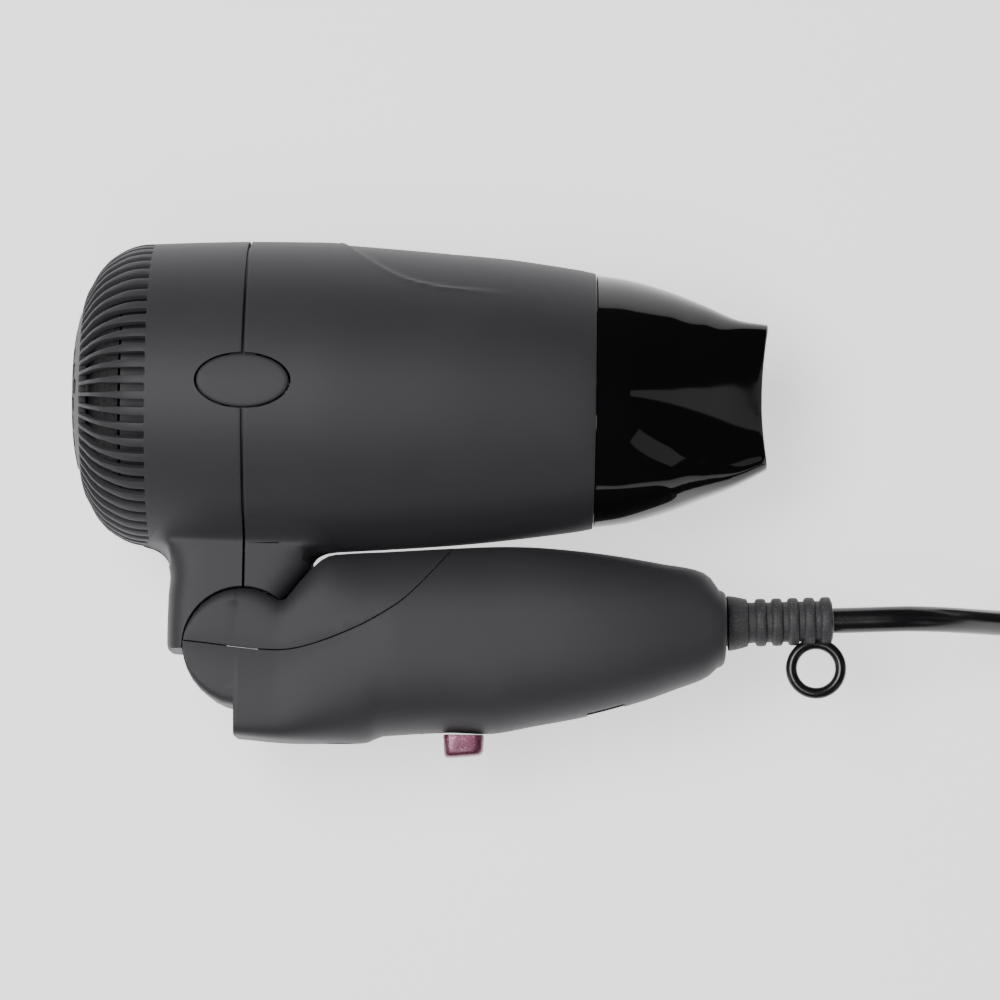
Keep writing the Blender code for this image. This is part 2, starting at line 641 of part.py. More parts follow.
def make_handle():
    hollow = place(handle_hollow("handle_hollow"), None, HANDLE_FRAME)
    slot_outline = arc(HINGE, 22.0, 54, 209, 14) + arc(HINGE, 8.6, 209, 414, 20)
    tongue_slot = plate("tongue_slot", [slot_outline], -CHEEK_INNER_Z, CHEEK_INNER_Z)
    place(tongue_slot, None, HANDLE_FRAME)
    pin_hole = rod("pin_hole", (*HINGE, -13.3), (*HINGE, 13.3), PIN_RADIUS + GAP, segments=24)
    place(pin_hole, None, HANDLE_FRAME)

    shell = place(handle_form("handle_shell"), "charcoal_shell", HANDLE_FRAME)
    combine(shell, place(parting_region("cover_region", -GAP / 2), None, HANDLE_FRAME))
    combine(shell, hollow)
    cover = place(handle_form("handle_cover"), "charcoal_shell", HANDLE_FRAME)
    combine(cover, place(parting_region("cover_side", GAP / 2), None, HANDLE_FRAME), "INTERSECT")
    combine(cover, hollow)

    screw_x = 22.0
    shell_boss = rod("shell_boss", (screw_x, -79.0, 0), (screw_x, -66.0, 0), 4.0, segments=18)
    combine(shell, place(shell_boss, None, HANDLE_FRAME), "UNION")
    cover_boss = rod("cover_boss", (screw_x, -65.7, 0), (screw_x, -37.6, 0), 3.4, segments=18)
    combine(cover, place(cover_boss, None, HANDLE_FRAME), "UNION")
    counterbore = rod("counterbore", (screw_x, -83.0, 0), (screw_x, -71.0, 0), 3.3, segments=18)
    combine(shell, place(counterbore, None, HANDLE_FRAME))
    screw_hole = rod("screw_hole", (screw_x, -74.0, 0), (screw_x, -56.0, 0), 1.6, segments=12)
    place(screw_hole, None, HANDLE_FRAME)
    for side in (-1, 1):
        boss = rod(f"clamp_boss_{side}", (96.0, -67.2, 6.8 * side), (96.0, -55.0, 6.8 * side), 2.8, segments=13)
        combine(shell, place(boss, None, HANDLE_FRAME), "UNION")
        hole = rod(f"clamp_hole_{side}", (96.0, -62.0, 6.8 * side), (96.0, -54.0, 6.8 * side), 1.5, segments=10)
        combine(shell, place(hole, None, HANDLE_FRAME))
    for piece in (shell, cover):
        combine(piece, screw_hole)
        combine(piece, tongue_slot)
        combine(piece, pin_hole)

    boot_hole = rod("boot_hole", (104.0, -51.3, 0), (113.0, -51.0, 0), 5.7, segments=24)
    combine(shell, place(boot_hole, None, HANDLE_FRAME))
    knob_slot = box("knob_slot", (KNOB_X - KNOB_TRAVEL - 2.1, -82.0, -2.0), (KNOB_X + 2.1, -73.0, 2.0))
    combine(shell, place(knob_slot, None, HANDLE_FRAME))
    recess = box("dial_recess", (-4.5, -5.5, 0.0), (4.5, 5.5, 4.0))
    combine(shell, place(recess, None, DIAL_AXIS))
    dial_hole = rod("dial_hole", (0, 0, -5.0), (0, 0, 1.0), DIAL_RADIUS + GAP, segments=24)
    combine(shell, place(dial_hole, None, DIAL_AXIS))


def make_hinge_hardware():
    pin = rod("hinge_pin", (*HINGE, -13.0), (*HINGE, 13.0), PIN_RADIUS, segments=24)
    place(pin, "steel", HANDLE_FRAME)
    washer = turned("spring_washer", [(7.7, 6.4), (6.7, 7.4), (6.7, PIN_RADIUS + GAP), (7.7, PIN_RADIUS + GAP)], 24)
    place(washer, "steel", HANDLE_FRAME, (*HINGE, 0))
    screw = rod("cover_screw", (22.0, -73.0, 0), (22.0, -71.3, 0), 2.9, segments=18)
    place(screw, "steel", HANDLE_FRAME)
    shank = rod("cover_screw_shank", (22.0, -72.0, 0), (22.0, -57.5, 0), 1.2, segments=10)
    combine(screw, place(shank, None, HANDLE_FRAME), "UNION")
    cross = box("cover_screw_cross", (20.4, -74.0, -0.35), (23.6, -72.3, 0.35))
    combine(screw, place(cross, None, HANDLE_FRAME))


def make_switch():
    cap = box("switch_knob", (-KNOB_LENGTH / 2, KNOB_TIP_Y - KNOB_BASE_Y, -5.5), (KNOB_LENGTH / 2, 0, 5.5), 1.2)
    place(cap, "violet_knob", KNOB_AXIS)
    stem = box("knob_stem", (-1.6, -1.5, -1.5), (1.6, 3.2, 1.5))
    combine(cap, place(stem, None, KNOB_AXIS), "UNION")
    carriage = box("switch_carriage", (-6.5, 3.5, -4.0), (6.5, 6.0, 4.0), 0.4)
    place(carriage, "dark_plastic", KNOB_AXIS)
    body = box("switch_body", (38.0, -71.2, -7.0), (66.0, -61.0, 7.0), 0.6)
    place(body, "dark_plastic", HANDLE_FRAME)
    for name, x in (("switch_terminal_a", 43.0), ("switch_terminal_b", 52.0), ("switch_terminal_c", 61.0)):
        place(box(name, (x - 0.4, -60.7, -2.4), (x + 0.4, -55.5, 2.4)), "brass", HANDLE_FRAME)
    capacitor = box("capacitor", (27.2, -75.5, -6.0), (35.4, -63.5, 6.0), 0.8)
    place(capacitor, "dark_plastic", HANDLE_FRAME)


def make_selector():
    dial = rod("selector_dial", (0, 0, -2.6), (0, 0, 0), DIAL_RADIUS, segments=28)
    place(dial, "dark_plastic", DIAL_AXIS)
    coin_slot = box("coin_slot", (-3.1, -0.6, -1.0), (3.1, 0.6, 1.0))
    combine(dial, place(coin_slot, None, DIAL_AXIS))
    body = box("selector_body", (-6.5, -5.5, -10.0), (6.5, 5.5, -3.0), 0.5)
    place(body, "dark_plastic", DIAL_AXIS)


def make_boot():
    """Ribbed strain relief, keyed through the handle's end, with its hanging loop."""
    start = Vector((*BOOT_START, 0))
    end = Vector((*BOOT_END, 0))
    length = (end - start).length
    profile = [(length, 0.0)]
    for index in range(RIB_COUNT):
        front = length - 0.35 - index * RIB_PITCH
        top = length if index == 0 else front
        profile += [(top, RIB_RADIUS), (front - 2.3, RIB_RADIUS), (front - 2.4, GROOVE_RADIUS),
                    (front - RIB_PITCH + 0.1, GROOVE_RADIUS)]
    profile += [(5.0, 5.6), (0.7, 6.4), (0.7, 5.3), (-2.6, 5.3), (-2.6, 6.5), (-4.6, 6.5), (-4.6, 0.0)]
    boot = turned("cord_boot", profile, 18)
    axis = make_empty("boot_axis", start, HANDLE_FRAME)
    axis.rotation_euler = (end - start).to_track_quat("Z", "Y").to_euler()
    place(boot, "boot_rubber", axis)
    section = circle((0, RING_RADIUS), RING_WIRE, 8)
    loop = turned("hanging_loop", [(z, r) for z, r in reversed(section)], 24)
    combine(boot, place(loop, None, HANDLE_FRAME, (*RING_CENTRE, 0)), "UNION")
    web = box("loop_web", (129.4, -56.6, -1.2), (134.0, -54.0, 1.2))
    combine(boot, place(web, None, HANDLE_FRAME), "UNION")


def make_cord_clamp():
    clamp = box("cord_clamp", (93.6, -48.0, -10.0), (98.4, -45.2, 10.0), 0.5)
    place(clamp, "dark_plastic", HANDLE_FRAME)
    for side, z in (("left", 6.8), ("right", -6.8)):
        hole = rod(f"clamp_bar_hole_{side}", (96.0, -50.0, z), (96.0, -43.0, z), 1.5, segments=12)
        combine(clamp, place(hole, None, HANDLE_FRAME))
        screw = rod(f"clamp_screw_{side}", (96.0, -44.9, z), (96.0, -43.5, z), 2.3, segments=16)
        place(screw, "steel", HANDLE_FRAME)
        shank = rod(f"clamp_shank_{side}", (96.0, -60.0, z), (96.0, -44.2, z), 1.2, segments=10)
        combine(screw, place(shank, None, HANDLE_FRAME), "UNION")
    inner = rod("cord_inner", (88.0, -51.9, 0), (105.2, -51.4, 0), CORD_DIAMETER / 2, segments=16)
    place(inner, "cord_pvc", HANDLE_FRAME)


def make_handle_leads():
    for name, side in (("lead_supply_a", 1), ("lead_supply_b", -1)):
        route = smooth_route([(87.6, -51.9, 1.3 * side), (82.0, -52.5, 2.5 * side), (75.0, -57.0, 4.5 * side),
                              (69.0, -62.0, 4.5 * side), (66.9, -64.5, 4.5 * side)], 4.0)
        place(tube(name, route, 0.9, 1), "lead_wire", HANDLE_FRAME)
    for name, side in (("lead_hinge_a", 1), ("lead_hinge_b", -1)):
        route = smooth_route([(37.2, -62.5, 6.0 * side), (32.0, -60.5, 7.5 * side), (26.0, -60.5, 8.0 * side),
                              (17.0, -60.8, 7.0 * side)], 4.0)
        place(tube(name, route, 0.9, 1), "lead_wire", HANDLE_FRAME)


# ---------------------------------------------------------------- cord, coil and plug

def make_cord():
    """The cord leaves the boot level, falls to the floor and joins the coil's outer turn."""
    lying = FLOOR + COIL_LIFT + CORD_DIAMETER / 2
    tip = Vector((*BOOT_END, 0))
    way = (tip - Vector((*BOOT_START, 0))).normalized()
    start = tip + way * GAP
    points = [start, start + way * 8.0, start + way * 17.0, (161.0, -49.2, -4.2), (169.5, -49.0, -12.6),
              (177.5, -48.8, -21.2), (186.0, -48.5, -27.6), (195.0, -48.2, lying + 1.3), (202.5, -48.1, lying + 0.1)]
    place(tube("cord", smooth_route(points, 7.0), CORD_DIAMETER / 2), "cord_pvc", HANDLE_FRAME)

    half = COIL_BUNDLE / 2
    low = FLOOR + COIL_LIFT
    corner = 4.5
    section = []
    for angle, sign_r, sign_z in ((0, 1, 1), (-90, 1, -1), (-180, -1, -1), (-270, -1, 1)):
        middle = (COIL_MID_RADIUS + sign_r * (half - corner), low + half + sign_z * (half - corner))
        for radius, height in arc(middle, corner, angle + 90, angle, 3):
            section.append((height, radius))
    coil = turned("cord_coil", section, 36)
    place(coil, "cord_pvc", HANDLE_FRAME, (*COIL_CENTRE, 0))

    across = half + TIE_SLACK + TIE_THICKNESS
    up = half + GAP + TIE_THICKNESS
    outer = [(-across, -up), (across, -up), (across, up), (-across, up)]
    inner = [(x - math.copysign(TIE_THICKNESS, x), y - math.copysign(TIE_THICKNESS, y)) for x, y in outer]
    tie = plate("cord_tie", [outer, inner], -TIE_WIDTH / 2, TIE_WIDTH / 2)
    place(tie, "boot_rubber", HANDLE_FRAME,
          (COIL_CENTRE[0], COIL_CENTRE[1] + COIL_MID_RADIUS, low + half), (math.radians(90), 0, math.radians(90)))


def make_plug():
    """Contour plug lying on the coil, its pins along X, with the last stretch of the cord."""
    top_of_coil = FLOOR + COIL_LIFT + COIL_BUNDLE
    axis_z = top_of_coil + GAP + PLUG_HEIGHT / 2
    face_x = PLUG_REAR_X + PLUG_LENGTH

    def section(x, half_width, half_height):
        return [(x, PLUG_AXIS_Y + half_width * math.copysign(abs(math.cos(t)) ** 0.6, math.cos(t)),
                 axis_z + half_height * math.copysign(abs(math.sin(t)) ** 0.7, math.sin(t)))
                for t in (2 * math.pi * (index + 0.5) / 28 for index in range(28))]

    width = PLUG_WIDTH / 2
    height = PLUG_HEIGHT / 2
    rings = [section(PLUG_REAR_X - 14.0, 4.0, 4.0), section(PLUG_REAR_X, 5.6, 5.6),
             section(PLUG_REAR_X + 4.0, 9.0, 8.0), section(PLUG_REAR_X + 10.0, 14.0, 10.5),
             section(PLUG_REAR_X + 18.0, 15.6, 11.2), section(face_x - 6.0, width, height),
             section(face_x - 1.0, width, height), section(face_x, width - 0.8, height - 0.8)]
    body = place(loft("plug_body", rings), "cord_pvc", HANDLE_FRAME)
    for name, side in (("plug_pin_a", 1), ("plug_pin_b", -1)):
        y = PLUG_AXIS_Y + side * PLUG_PIN_SPACING / 2
        seat = rod("pin_seat", (face_x - PLUG_PIN_SEAT, y, axis_z), (face_x + 1.0, y, axis_z),
                   PLUG_PIN_RADIUS + GAP)
        combine(body, place(seat, None, HANDLE_FRAME))
        pin = rod(name, (face_x - PLUG_PIN_SEAT + GAP, y, axis_z), (face_x + PLUG_PIN_LENGTH, y, axis_z),
                  PLUG_PIN_RADIUS)
        place(pin, "brass", HANDLE_FRAME)

    rear = PLUG_REAR_X - 14.0 - 2 * GAP
    points = [(193.0, -16.0, top_of_coil + CORD_DIAMETER / 2 + 0.4), (195.4, -22.5, top_of_coil + 4.2),
              (199.8, -28.6, top_of_coil + 6.0), (206.0, -32.6, top_of_coil + 8.6),
              (213.5, PLUG_AXIS_Y, top_of_coil + 11.4), (rear, PLUG_AXIS_Y, axis_z)]
    place(tube("cord_tail", smooth_route(points, 6.0), CORD_DIAMETER / 2), "cord_pvc", HANDLE_FRAME)


make_housings()
make_intake_screen()
make_dust_filter()
make_side_caps()
make_nozzle()
make_outlet_grille()
make_air_path()
make_motor()
make_heater()
make_hinge_tongue()
make_barrel_leads()
make_handle()
make_hinge_hardware()
make_switch()
make_selector()
make_boot()
make_cord_clamp()
make_handle_leads()
make_cord()
make_plug()
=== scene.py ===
"""Finished looks of the folding travel hair dryer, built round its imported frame."""

import json
import math

import bmesh
import bpy
from mathutils import Matrix, Vector

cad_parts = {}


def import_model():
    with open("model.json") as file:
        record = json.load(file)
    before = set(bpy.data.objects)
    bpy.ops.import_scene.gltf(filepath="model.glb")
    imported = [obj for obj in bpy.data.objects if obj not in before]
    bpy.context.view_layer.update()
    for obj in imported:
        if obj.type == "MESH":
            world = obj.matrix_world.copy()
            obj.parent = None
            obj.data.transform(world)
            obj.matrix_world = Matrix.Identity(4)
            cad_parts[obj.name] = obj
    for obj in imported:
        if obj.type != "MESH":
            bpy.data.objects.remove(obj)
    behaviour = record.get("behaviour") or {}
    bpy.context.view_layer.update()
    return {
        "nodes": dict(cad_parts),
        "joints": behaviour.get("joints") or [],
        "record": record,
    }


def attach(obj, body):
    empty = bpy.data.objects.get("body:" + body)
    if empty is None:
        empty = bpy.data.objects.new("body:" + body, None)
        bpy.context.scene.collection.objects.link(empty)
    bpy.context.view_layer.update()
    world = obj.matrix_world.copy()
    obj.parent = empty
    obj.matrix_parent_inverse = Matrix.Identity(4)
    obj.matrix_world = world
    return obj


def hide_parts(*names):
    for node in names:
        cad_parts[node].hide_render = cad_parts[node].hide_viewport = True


bl_info = {
    "name": "Travel hair dryer looks",
    "version": (1, 0, 0),
    "blender": (4, 5, 0),
    "location": "View3D > Sidebar > Dryer",
    "description": "Builds the shells, nozzle, cord and studio of a folding travel hair dryer",
    "category": "Object",
}

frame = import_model()

MM = 0.001
JOINTS = {joint["name"]: joint for joint in frame["joints"]}
FOLD_AT = Vector(JOINTS["barrel_fold"]["pos_m"])
NOZZLE_AT = Vector(JOINTS["nozzle_turn"]["pos_m"])
ORIGIN = Vector((FOLD_AT.x, NOZZLE_AT.y, NOZZLE_AT.z))   # barrel axis where the housings meet

# Shapes in millimetres from ORIGIN: +X to the nozzle, +Y away from the handle, +Z up
HINGE = ((FOLD_AT - ORIGIN).x / MM, (FOLD_AT - ORIGIN).y / MM)
FLOOR = -ORIGIN.z / MM
HEAD_RADIUS = 13.6
WALL = 1.7                       # of both housings
REAR_OUTSIDE = [(-40.4, 0.5), (-40.2, 12.4), (-39.3, 17.4), (-38.3, 20.9), (-37.4, 23.8), (-36.5, 25.4),
                (-35.6, 27.1), (-34.7, 28.6), (-33.7, 29.8), (-32.8, 30.8), (-31.9, 31.6), (-29.6, 33.1),
                (-27.3, 34.2), (-24.9, 34.8), (-22.6, 35.0), (-12.0, 35.5), (-0.3, 35.9)]
FRONT_OUTSIDE = [(0.3, 35.9), (10.0, 35.95), (18.9, 35.9), (29.3, 35.3), (46.7, 34.0), (60.5, 32.5),
                 (74.4, 30.6), (79.75, 29.6)]
HANDLE_TOP = [(8.8, -48.4), (13.5, -42.4), (18.2, -37.6), (22.8, -36.5), (33.2, -35.7), (48.2, -34.7),
              (58.6, -34.2), (67.8, -34.3), (81.7, -35.5), (95.6, -37.6), (106.0, -39.8), (109.5, -44.1)]
STEP_X = -1.8
HANDLE_BACK = [(STEP_X, -78.9), (9.4, -79.9), (19.8, -80.0), (28.2, -79.8), (31.4, -78.4), (33.7, -78.1),
               (46.8, -77.2), (57.2, -77.3), (66.2, -75.6), (78.9, -73.0), (91.8, -69.3), (99.6, -66.4),
               (106.5, -63.6), (109.5, -60.9)]
PARTING = [(-20.0, -57.4), (-13.3, -57.6), (-3.7, -58.6), (3.2, -59.3), (9.2, -59.4), (14.6, -58.4),
           (21.4, -56.0), (28.3, -52.8), (35.1, -48.6), (39.5, -44.7), (44.1, -39.6), (48.4, -34.3),
           (53.0, -27.0)]
CREASE = [(20.5, 36.5), (23.0, 34.2), (25.7, 31.8), (31.0, 28.0), (36.3, 25.3), (42.0, 23.8), (48.0, 23.0),
          (60.0, 22.2)]
NOZZLE_STATIONS = [(80.0, 29.3, 29.3, 29.3), (88.0, 28.1, 28.1, 27.2), (97.0, 25.5, 25.5, 22.2),
                   (105.0, 22.4, 22.4, 16.2), (112.5, 19.3, 19.4, 10.9), (119.9, 18.2, 15.5, 7.6)]
NOZZLE_END = 119.6
NOZZLE_DISH_FROM = 104.0         # from here the rim's dish grows
RIB_COUNT = 5
RIB_PITCH = 3.75
CAMERA_AIM = (58.3, -23.2, 0.0)

# The cord's route, as laid in the frame
BOOT_START = Vector((110.5, -51.1, 0.0))
BOOT_END = Vector((135.3, -50.1, 0.0))
BOOT_WAY = (BOOT_END - BOOT_START).normalized()
CORD_DIAMETER = 5.9
COIL_CENTRE = (224.0, -9.6)
COIL_RADIUS = 32.5               # to the middle of its bundle
COIL_TURNS = 7.72
COIL_LOW = FLOOR + 0.9
COIL_TOP = COIL_LOW + 17.7
PLUG_AXIS = (-34.1, COIL_TOP + 0.3 + 12.5)
PLUG_REAR_X = 236.0
CORD_START = BOOT_END + BOOT_WAY * 0.3
LEAD_POINTS = [CORD_START, CORD_START + BOOT_WAY * 8.0, CORD_START + BOOT_WAY * 17.0, (161.0, -49.2, -4.2),
               (169.5, -49.0, -12.6), (177.5, -48.8, -21.2), (186.0, -48.5, -27.6),
               (195.0, -48.2, COIL_LOW + 4.25), (202.5, -48.1, COIL_LOW + 3.05)]
TAIL_POINTS = [(193.0, -16.0, COIL_TOP + 3.4), (195.4, -22.5, COIL_TOP + 4.2), (199.8, -28.6, COIL_TOP + 6.0),
               (206.0, -32.6, COIL_TOP + 8.6), (213.5, PLUG_AXIS[0], COIL_TOP + 11.4),
               (PLUG_REAR_X - 14.6, *PLUG_AXIS)]


# ---------------------------------------------------------------- shader expressions

def settle(holder, values):
    for key, value in values.items():
        setattr(holder, key, value)


class Wire:
    """An output socket that takes part in Python arithmetic."""

    def __init__(self, tree, socket):
        self.tree = tree
        self.socket = socket

    def math(self, operation, *values):
        return node(self.tree, "ShaderNodeMath", {"operation": operation}, dict(enumerate(values)))

    def __add__(self, other):
        return self.math("ADD", self, other)

    def __sub__(self, other):
        return self.math("SUBTRACT", self, other)

    def __mul__(self, other):
        return self.math("MULTIPLY", self, other)

    def __rsub__(self, other):
        return self.math("SUBTRACT", other, self)

    def above(self, limit, softness):
        return node(self.tree, "ShaderNodeMapRange", {"interpolation_type": "SMOOTHSTEP"},
                    {"Value": self, "From Min": limit - softness, "From Max": limit + softness})

    __radd__ = __add__
    __rmul__ = __mul__


def node(tree, kind, settings, inputs, output=0):
    """Add a node: its settings first, then the values or links of its sockets."""
    made = tree.nodes.new(kind)
    stops = settings.pop("stops", None)
    settle(made, settings)
    if stops:
        ramp = made.color_ramp
        while len(ramp.elements) < len(stops):
            ramp.elements.new(0.5)
        for element, (position, colour) in zip(ramp.elements, stops):
            element.position = position
            element.color = (*colour, 1.0)
    for key, value in inputs.items():
        if isinstance(value, Wire):
            tree.links.new(value.socket, made.inputs[key])
        else:
            made.inputs[key].default_value = value
    return Wire(tree, made.outputs[output])


def mix_colours(tree, factor, first, second):
    made = tree.nodes.new("ShaderNodeMix")
    made.data_type = "RGBA"
    tree.links.new(factor.socket, made.inputs["Factor"])
    for key, value in (("A", first), ("B", second)):
        socket = [item for item in made.inputs if item.name == key and item.type == "RGBA"][0]
        if isinstance(value, Wire):
            tree.links.new(value.socket, socket)
        else:
            socket.default_value = (*value, 1.0)
    return Wire(tree, [item for item in made.outputs if item.type == "RGBA"][0])


class Finish:
    """A material under way: place coordinates, noises and the Principled shader's sockets."""

    def __init__(self, name):
        self.material = bpy.data.materials.new(name)
        self.material.use_nodes = True
        self.tree = self.material.node_tree
        self.shader = self.tree.nodes["Principled BSDF"]
        self.place = node(self.tree, "ShaderNodeTexCoord", {}, {}, output="Object")

    def noise(self, size_mm, detail=3.0, roughness=0.55):
        return node(self.tree, "ShaderNodeTexNoise", {},
                    {"Vector": self.place, "Scale": 1000.0 / size_mm, "Detail": detail,
                     "Roughness": roughness})

    def cells(self, size_mm, output="Distance"):
        return node(self.tree, "ShaderNodeTexVoronoi", {},
                    {"Vector": self.place, "Scale": 1000.0 / size_mm}, output=output)

    def set(self, **values):
        for name, value in values.items():
            socket = self.shader.inputs[name.replace("_", " ")]
            if isinstance(value, Wire):
                self.tree.links.new(value.socket, socket)
            else:
                socket.default_value = value
        return self

    def bump(self, height, depth_mm, strength=1.0):
        normal = node(self.tree, "ShaderNodeBump", {},
                      {"Height": height, "Distance": depth_mm * MM, "Strength": strength})
        return self.set(Normal=normal)


def soft_touch(name, colour, roughness):
    """Rubbery matt paint: fine grain, faint mottling and slightly polished patches."""
    finish = Finish(name)
    mottle = finish.noise(22.0, 4.0)
    grain = finish.noise(0.32, 2.0)
    light = tuple(channel * 1.16 for channel in colour)
    dark = tuple(channel * 0.86 for channel in colour)
    finish.set(Base_Color=mix_colours(finish.tree, mottle, dark, light))
    finish.set(Roughness=roughness + (mottle - 0.5) * 0.10 + (grain - 0.5) * 0.08)
    finish.set(Sheen_Weight=0.04, Sheen_Roughness=0.45, Specular_IOR_Level=0.32)
    finish.shader.inputs["Sheen Tint"].default_value = (0.75, 0.75, 0.85, 1.0)
    return finish.bump(grain + finish.noise(0.9, 2.0) * 0.6, 0.018, 0.5).material


def polished_plastic(name, colour):
    finish = Finish(name)
    film = finish.noise(34.0, 3.0)
    dust = finish.noise(0.8, 2.0).above(0.72, 0.03)
    finish.set(Base_Color=mix_colours(finish.tree, film, colour, tuple(channel * 1.5 for channel in colour)))
    finish.set(Roughness=0.035 + film * 0.035 + dust * 0.05, IOR=1.38)
    return finish.bump(film, 0.05, 0.12).material


def violet_flake(name, colour):
    """Metallic paint with coarse flakes; the flakes that catch the light one by one are painted glints: a
    brighter base colour, more metallic and smoother.
    """
    finish = Finish(name)
    flake = finish.cells(0.26, "Color")
    tone = node(finish.tree, "ShaderNodeSeparateColor", {}, {"Color": flake}, output=0)
    # painted glint: a few random flakes get a brighter, pinker base colour
    painted_glint = tone.above(0.93, 0.03)
    deep = mix_colours(finish.tree, tone, tuple(channel * 0.55 for channel in colour), colour)
    finish.set(Base_Color=mix_colours(finish.tree, painted_glint, deep, (0.40, 0.16, 0.26)))
    finish.set(Metallic=0.55 + painted_glint * 0.4, Roughness=0.34 - painted_glint * 0.12 + tone * 0.08)
    finish.set(Coat_Weight=0.3, Coat_Roughness=0.15)
    return finish.bump(tone, 0.03, 0.35).material


def speckled_rubber(name, colour):
    finish = Finish(name)
    grain = finish.noise(0.45, 4.0, 0.7)
    speck = finish.noise(0.38, 2.0, 0.6).above(0.63, 0.05)
    base = mix_colours(finish.tree, finish.noise(9.0), colour, tuple(channel * 1.6 for channel in colour))
    finish.set(Base_Color=mix_colours(finish.tree, speck, base, (0.11, 0.11, 0.115)))
    finish.set(Roughness=0.50 + grain * 0.22)
    return finish.bump(grain, 0.06, 0.6).material


def flexible_pvc(name, colour):
    finish = Finish(name)
    handled = finish.noise(14.0, 3.0)
    fine = finish.noise(0.7, 2.0)
    worn = tuple(channel * 1.7 for channel in colour)
    finish.set(Base_Color=mix_colours(finish.tree, handled, colour, worn))
    finish.set(Roughness=0.16 + handled * 0.14 + fine * 0.05)
    return finish.bump(handled + fine * 0.3, 0.05, 0.3).material


def gauze_painted_hole_shade(name, colour):
    """Woven filter mesh with painted shade: its holes are coloured near black, standing in for the dark
    inside seen through them.
    """
    finish = Finish(name)
    hole = finish.cells(0.9).above(0.35, 0.12)
    # painted shade: the hole mask colours the mesh's openings near black
    finish.set(Base_Color=mix_colours(finish.tree, hole, (0.002, 0.002, 0.002), colour), Roughness=0.7)
    return finish.bump(hole, 0.15, 0.6).material


def drawn_metal(name, colour, roughness, grain_mm=0.25):
    finish = Finish(name)
    stretched = node(finish.tree, "ShaderNodeMapping", {},
                     {"Vector": finish.place, "Scale": (0.06, 1.0, 1.0)})
    lines = node(finish.tree, "ShaderNodeTexNoise", {}, {"Vector": stretched, "Scale": 1000.0 / grain_mm,
                                                         "Detail": 2.0})
    stain = finish.noise(6.0, 4.0)
    dull = tuple(channel * 0.72 for channel in colour)
    finish.set(Base_Color=mix_colours(finish.tree, stain, dull, colour), Metallic=1.0)
    finish.set(Roughness=roughness + lines * 0.14 + stain * 0.08)
    return finish.bump(lines, 0.01, 0.4).material


def layered_board(name, colour, flake_colour, size_mm=1.6):
    finish = Finish(name)
    flake = finish.cells(size_mm)
    finish.set(Base_Color=mix_colours(finish.tree, flake.above(0.45, 0.25), colour, flake_colour))
    finish.set(Roughness=0.30 + finish.noise(2.0) * 0.3)
    return finish.bump(flake, 0.04, 0.4).material


# ---------------------------------------------------------------- meshes, in millimetres from ORIGIN

def signed_power(value, power):
    """Raise a sine or cosine to a power and keep its sign, for a ring between ellipse and rectangle."""
    return math.copysign(abs(value) ** power, value)


def eased(part):
    """Smoothstep of a value from 0 to 1."""
    return part * part * (3 - 2 * part)


def world(point):
    return ORIGIN + Vector(point) * MM


def link_piece(name, mesh, body, material, replaces=()):
    piece = bpy.data.objects.new(name, mesh)
    bpy.context.scene.collection.objects.link(piece)
    mesh.materials.clear()
    mesh.materials.append(material)
    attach(piece, body)
    if replaces:
        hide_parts(*replaces)
    return piece


def mesh_from(name, points, faces, smooth_angle=40):
    """A mesh of points already in millimetres, with its normals out and smooth."""
    bm = bmesh.new()
    verts = [bm.verts.new(world(point)) for point in points]
    for face in faces:
        bm.faces.new([verts[index] for index in face])
    bmesh.ops.remove_doubles(bm, verts=bm.verts, dist=0.000002)
    bmesh.ops.recalc_face_normals(bm, faces=bm.faces)
    mesh = bpy.data.meshes.new(name)
    bm.to_mesh(mesh)
    bm.free()
    mesh.shade_smooth()
    mesh.set_sharp_from_angle(angle=math.radians(smooth_angle))
    return mesh


def modified(mesh, *steps):
    """The mesh after modifiers, each given as (type, settings), with smooth shading kept."""
    holder = bpy.data.objects.new("holder", mesh)
    bpy.context.scene.collection.objects.link(holder)
    for kind, values in steps:
        settle(holder.modifiers.new(kind, kind), values)
    result = bpy.data.meshes.new_from_object(holder.evaluated_get(bpy.context.evaluated_depsgraph_get()))
    bpy.data.objects.remove(holder, do_unlink=True)
    result.shade_smooth()
    result.set_sharp_from_angle(angle=math.radians(32))
    return result


def solidify(depth):
    return ("SOLIDIFY", {"thickness": depth * MM, "offset": -1.0, "use_even_offset": True})


def bevel(width, segments=2, angle=32):
    return ("BEVEL", {"width": width * MM, "segments": segments, "limit_method": "ANGLE",
                      "angle_limit": math.radians(angle), "harden_normals": False})


def cut_by(mesh, *tools, operation="DIFFERENCE"):
    """The mesh after a Boolean with each tool mesh in turn."""
    for tool in tools:
        cutter = bpy.data.objects.new("cutter", tool)
        bpy.context.scene.collection.objects.link(cutter)
        mesh = modified(mesh, ("BOOLEAN", {"object": cutter, "operation": operation, "solver": "EXACT"}))
        bpy.data.objects.remove(cutter, do_unlink=True)
    return mesh


def grid_faces(rows, columns, closed_columns=True, keep=None):
    faces = []
    for row in range(rows - 1):
        for column in range(columns if closed_columns else columns - 1):
            if keep and not keep(row, column):
                continue
            after = (column + 1) % columns
            faces.append((row * columns + column, row * columns + after,
                          (row + 1) * columns + after, (row + 1) * columns + column))
    return faces


def loft(name, rings, closed=False, smooth_angle=40):
    columns = len(rings[0])
    points = [point for ring in rings for point in ring]
    faces = grid_faces(len(rings), columns)
    if closed:
        last = (len(rings) - 1) * columns
        faces += [(last + c, last + (c + 1) % columns, (c + 1) % columns, c) for c in range(columns)]
    else:
        faces += [tuple(range(columns)), tuple(range(len(points) - columns, len(points)))]
    return mesh_from(name, points, faces, smooth_angle)


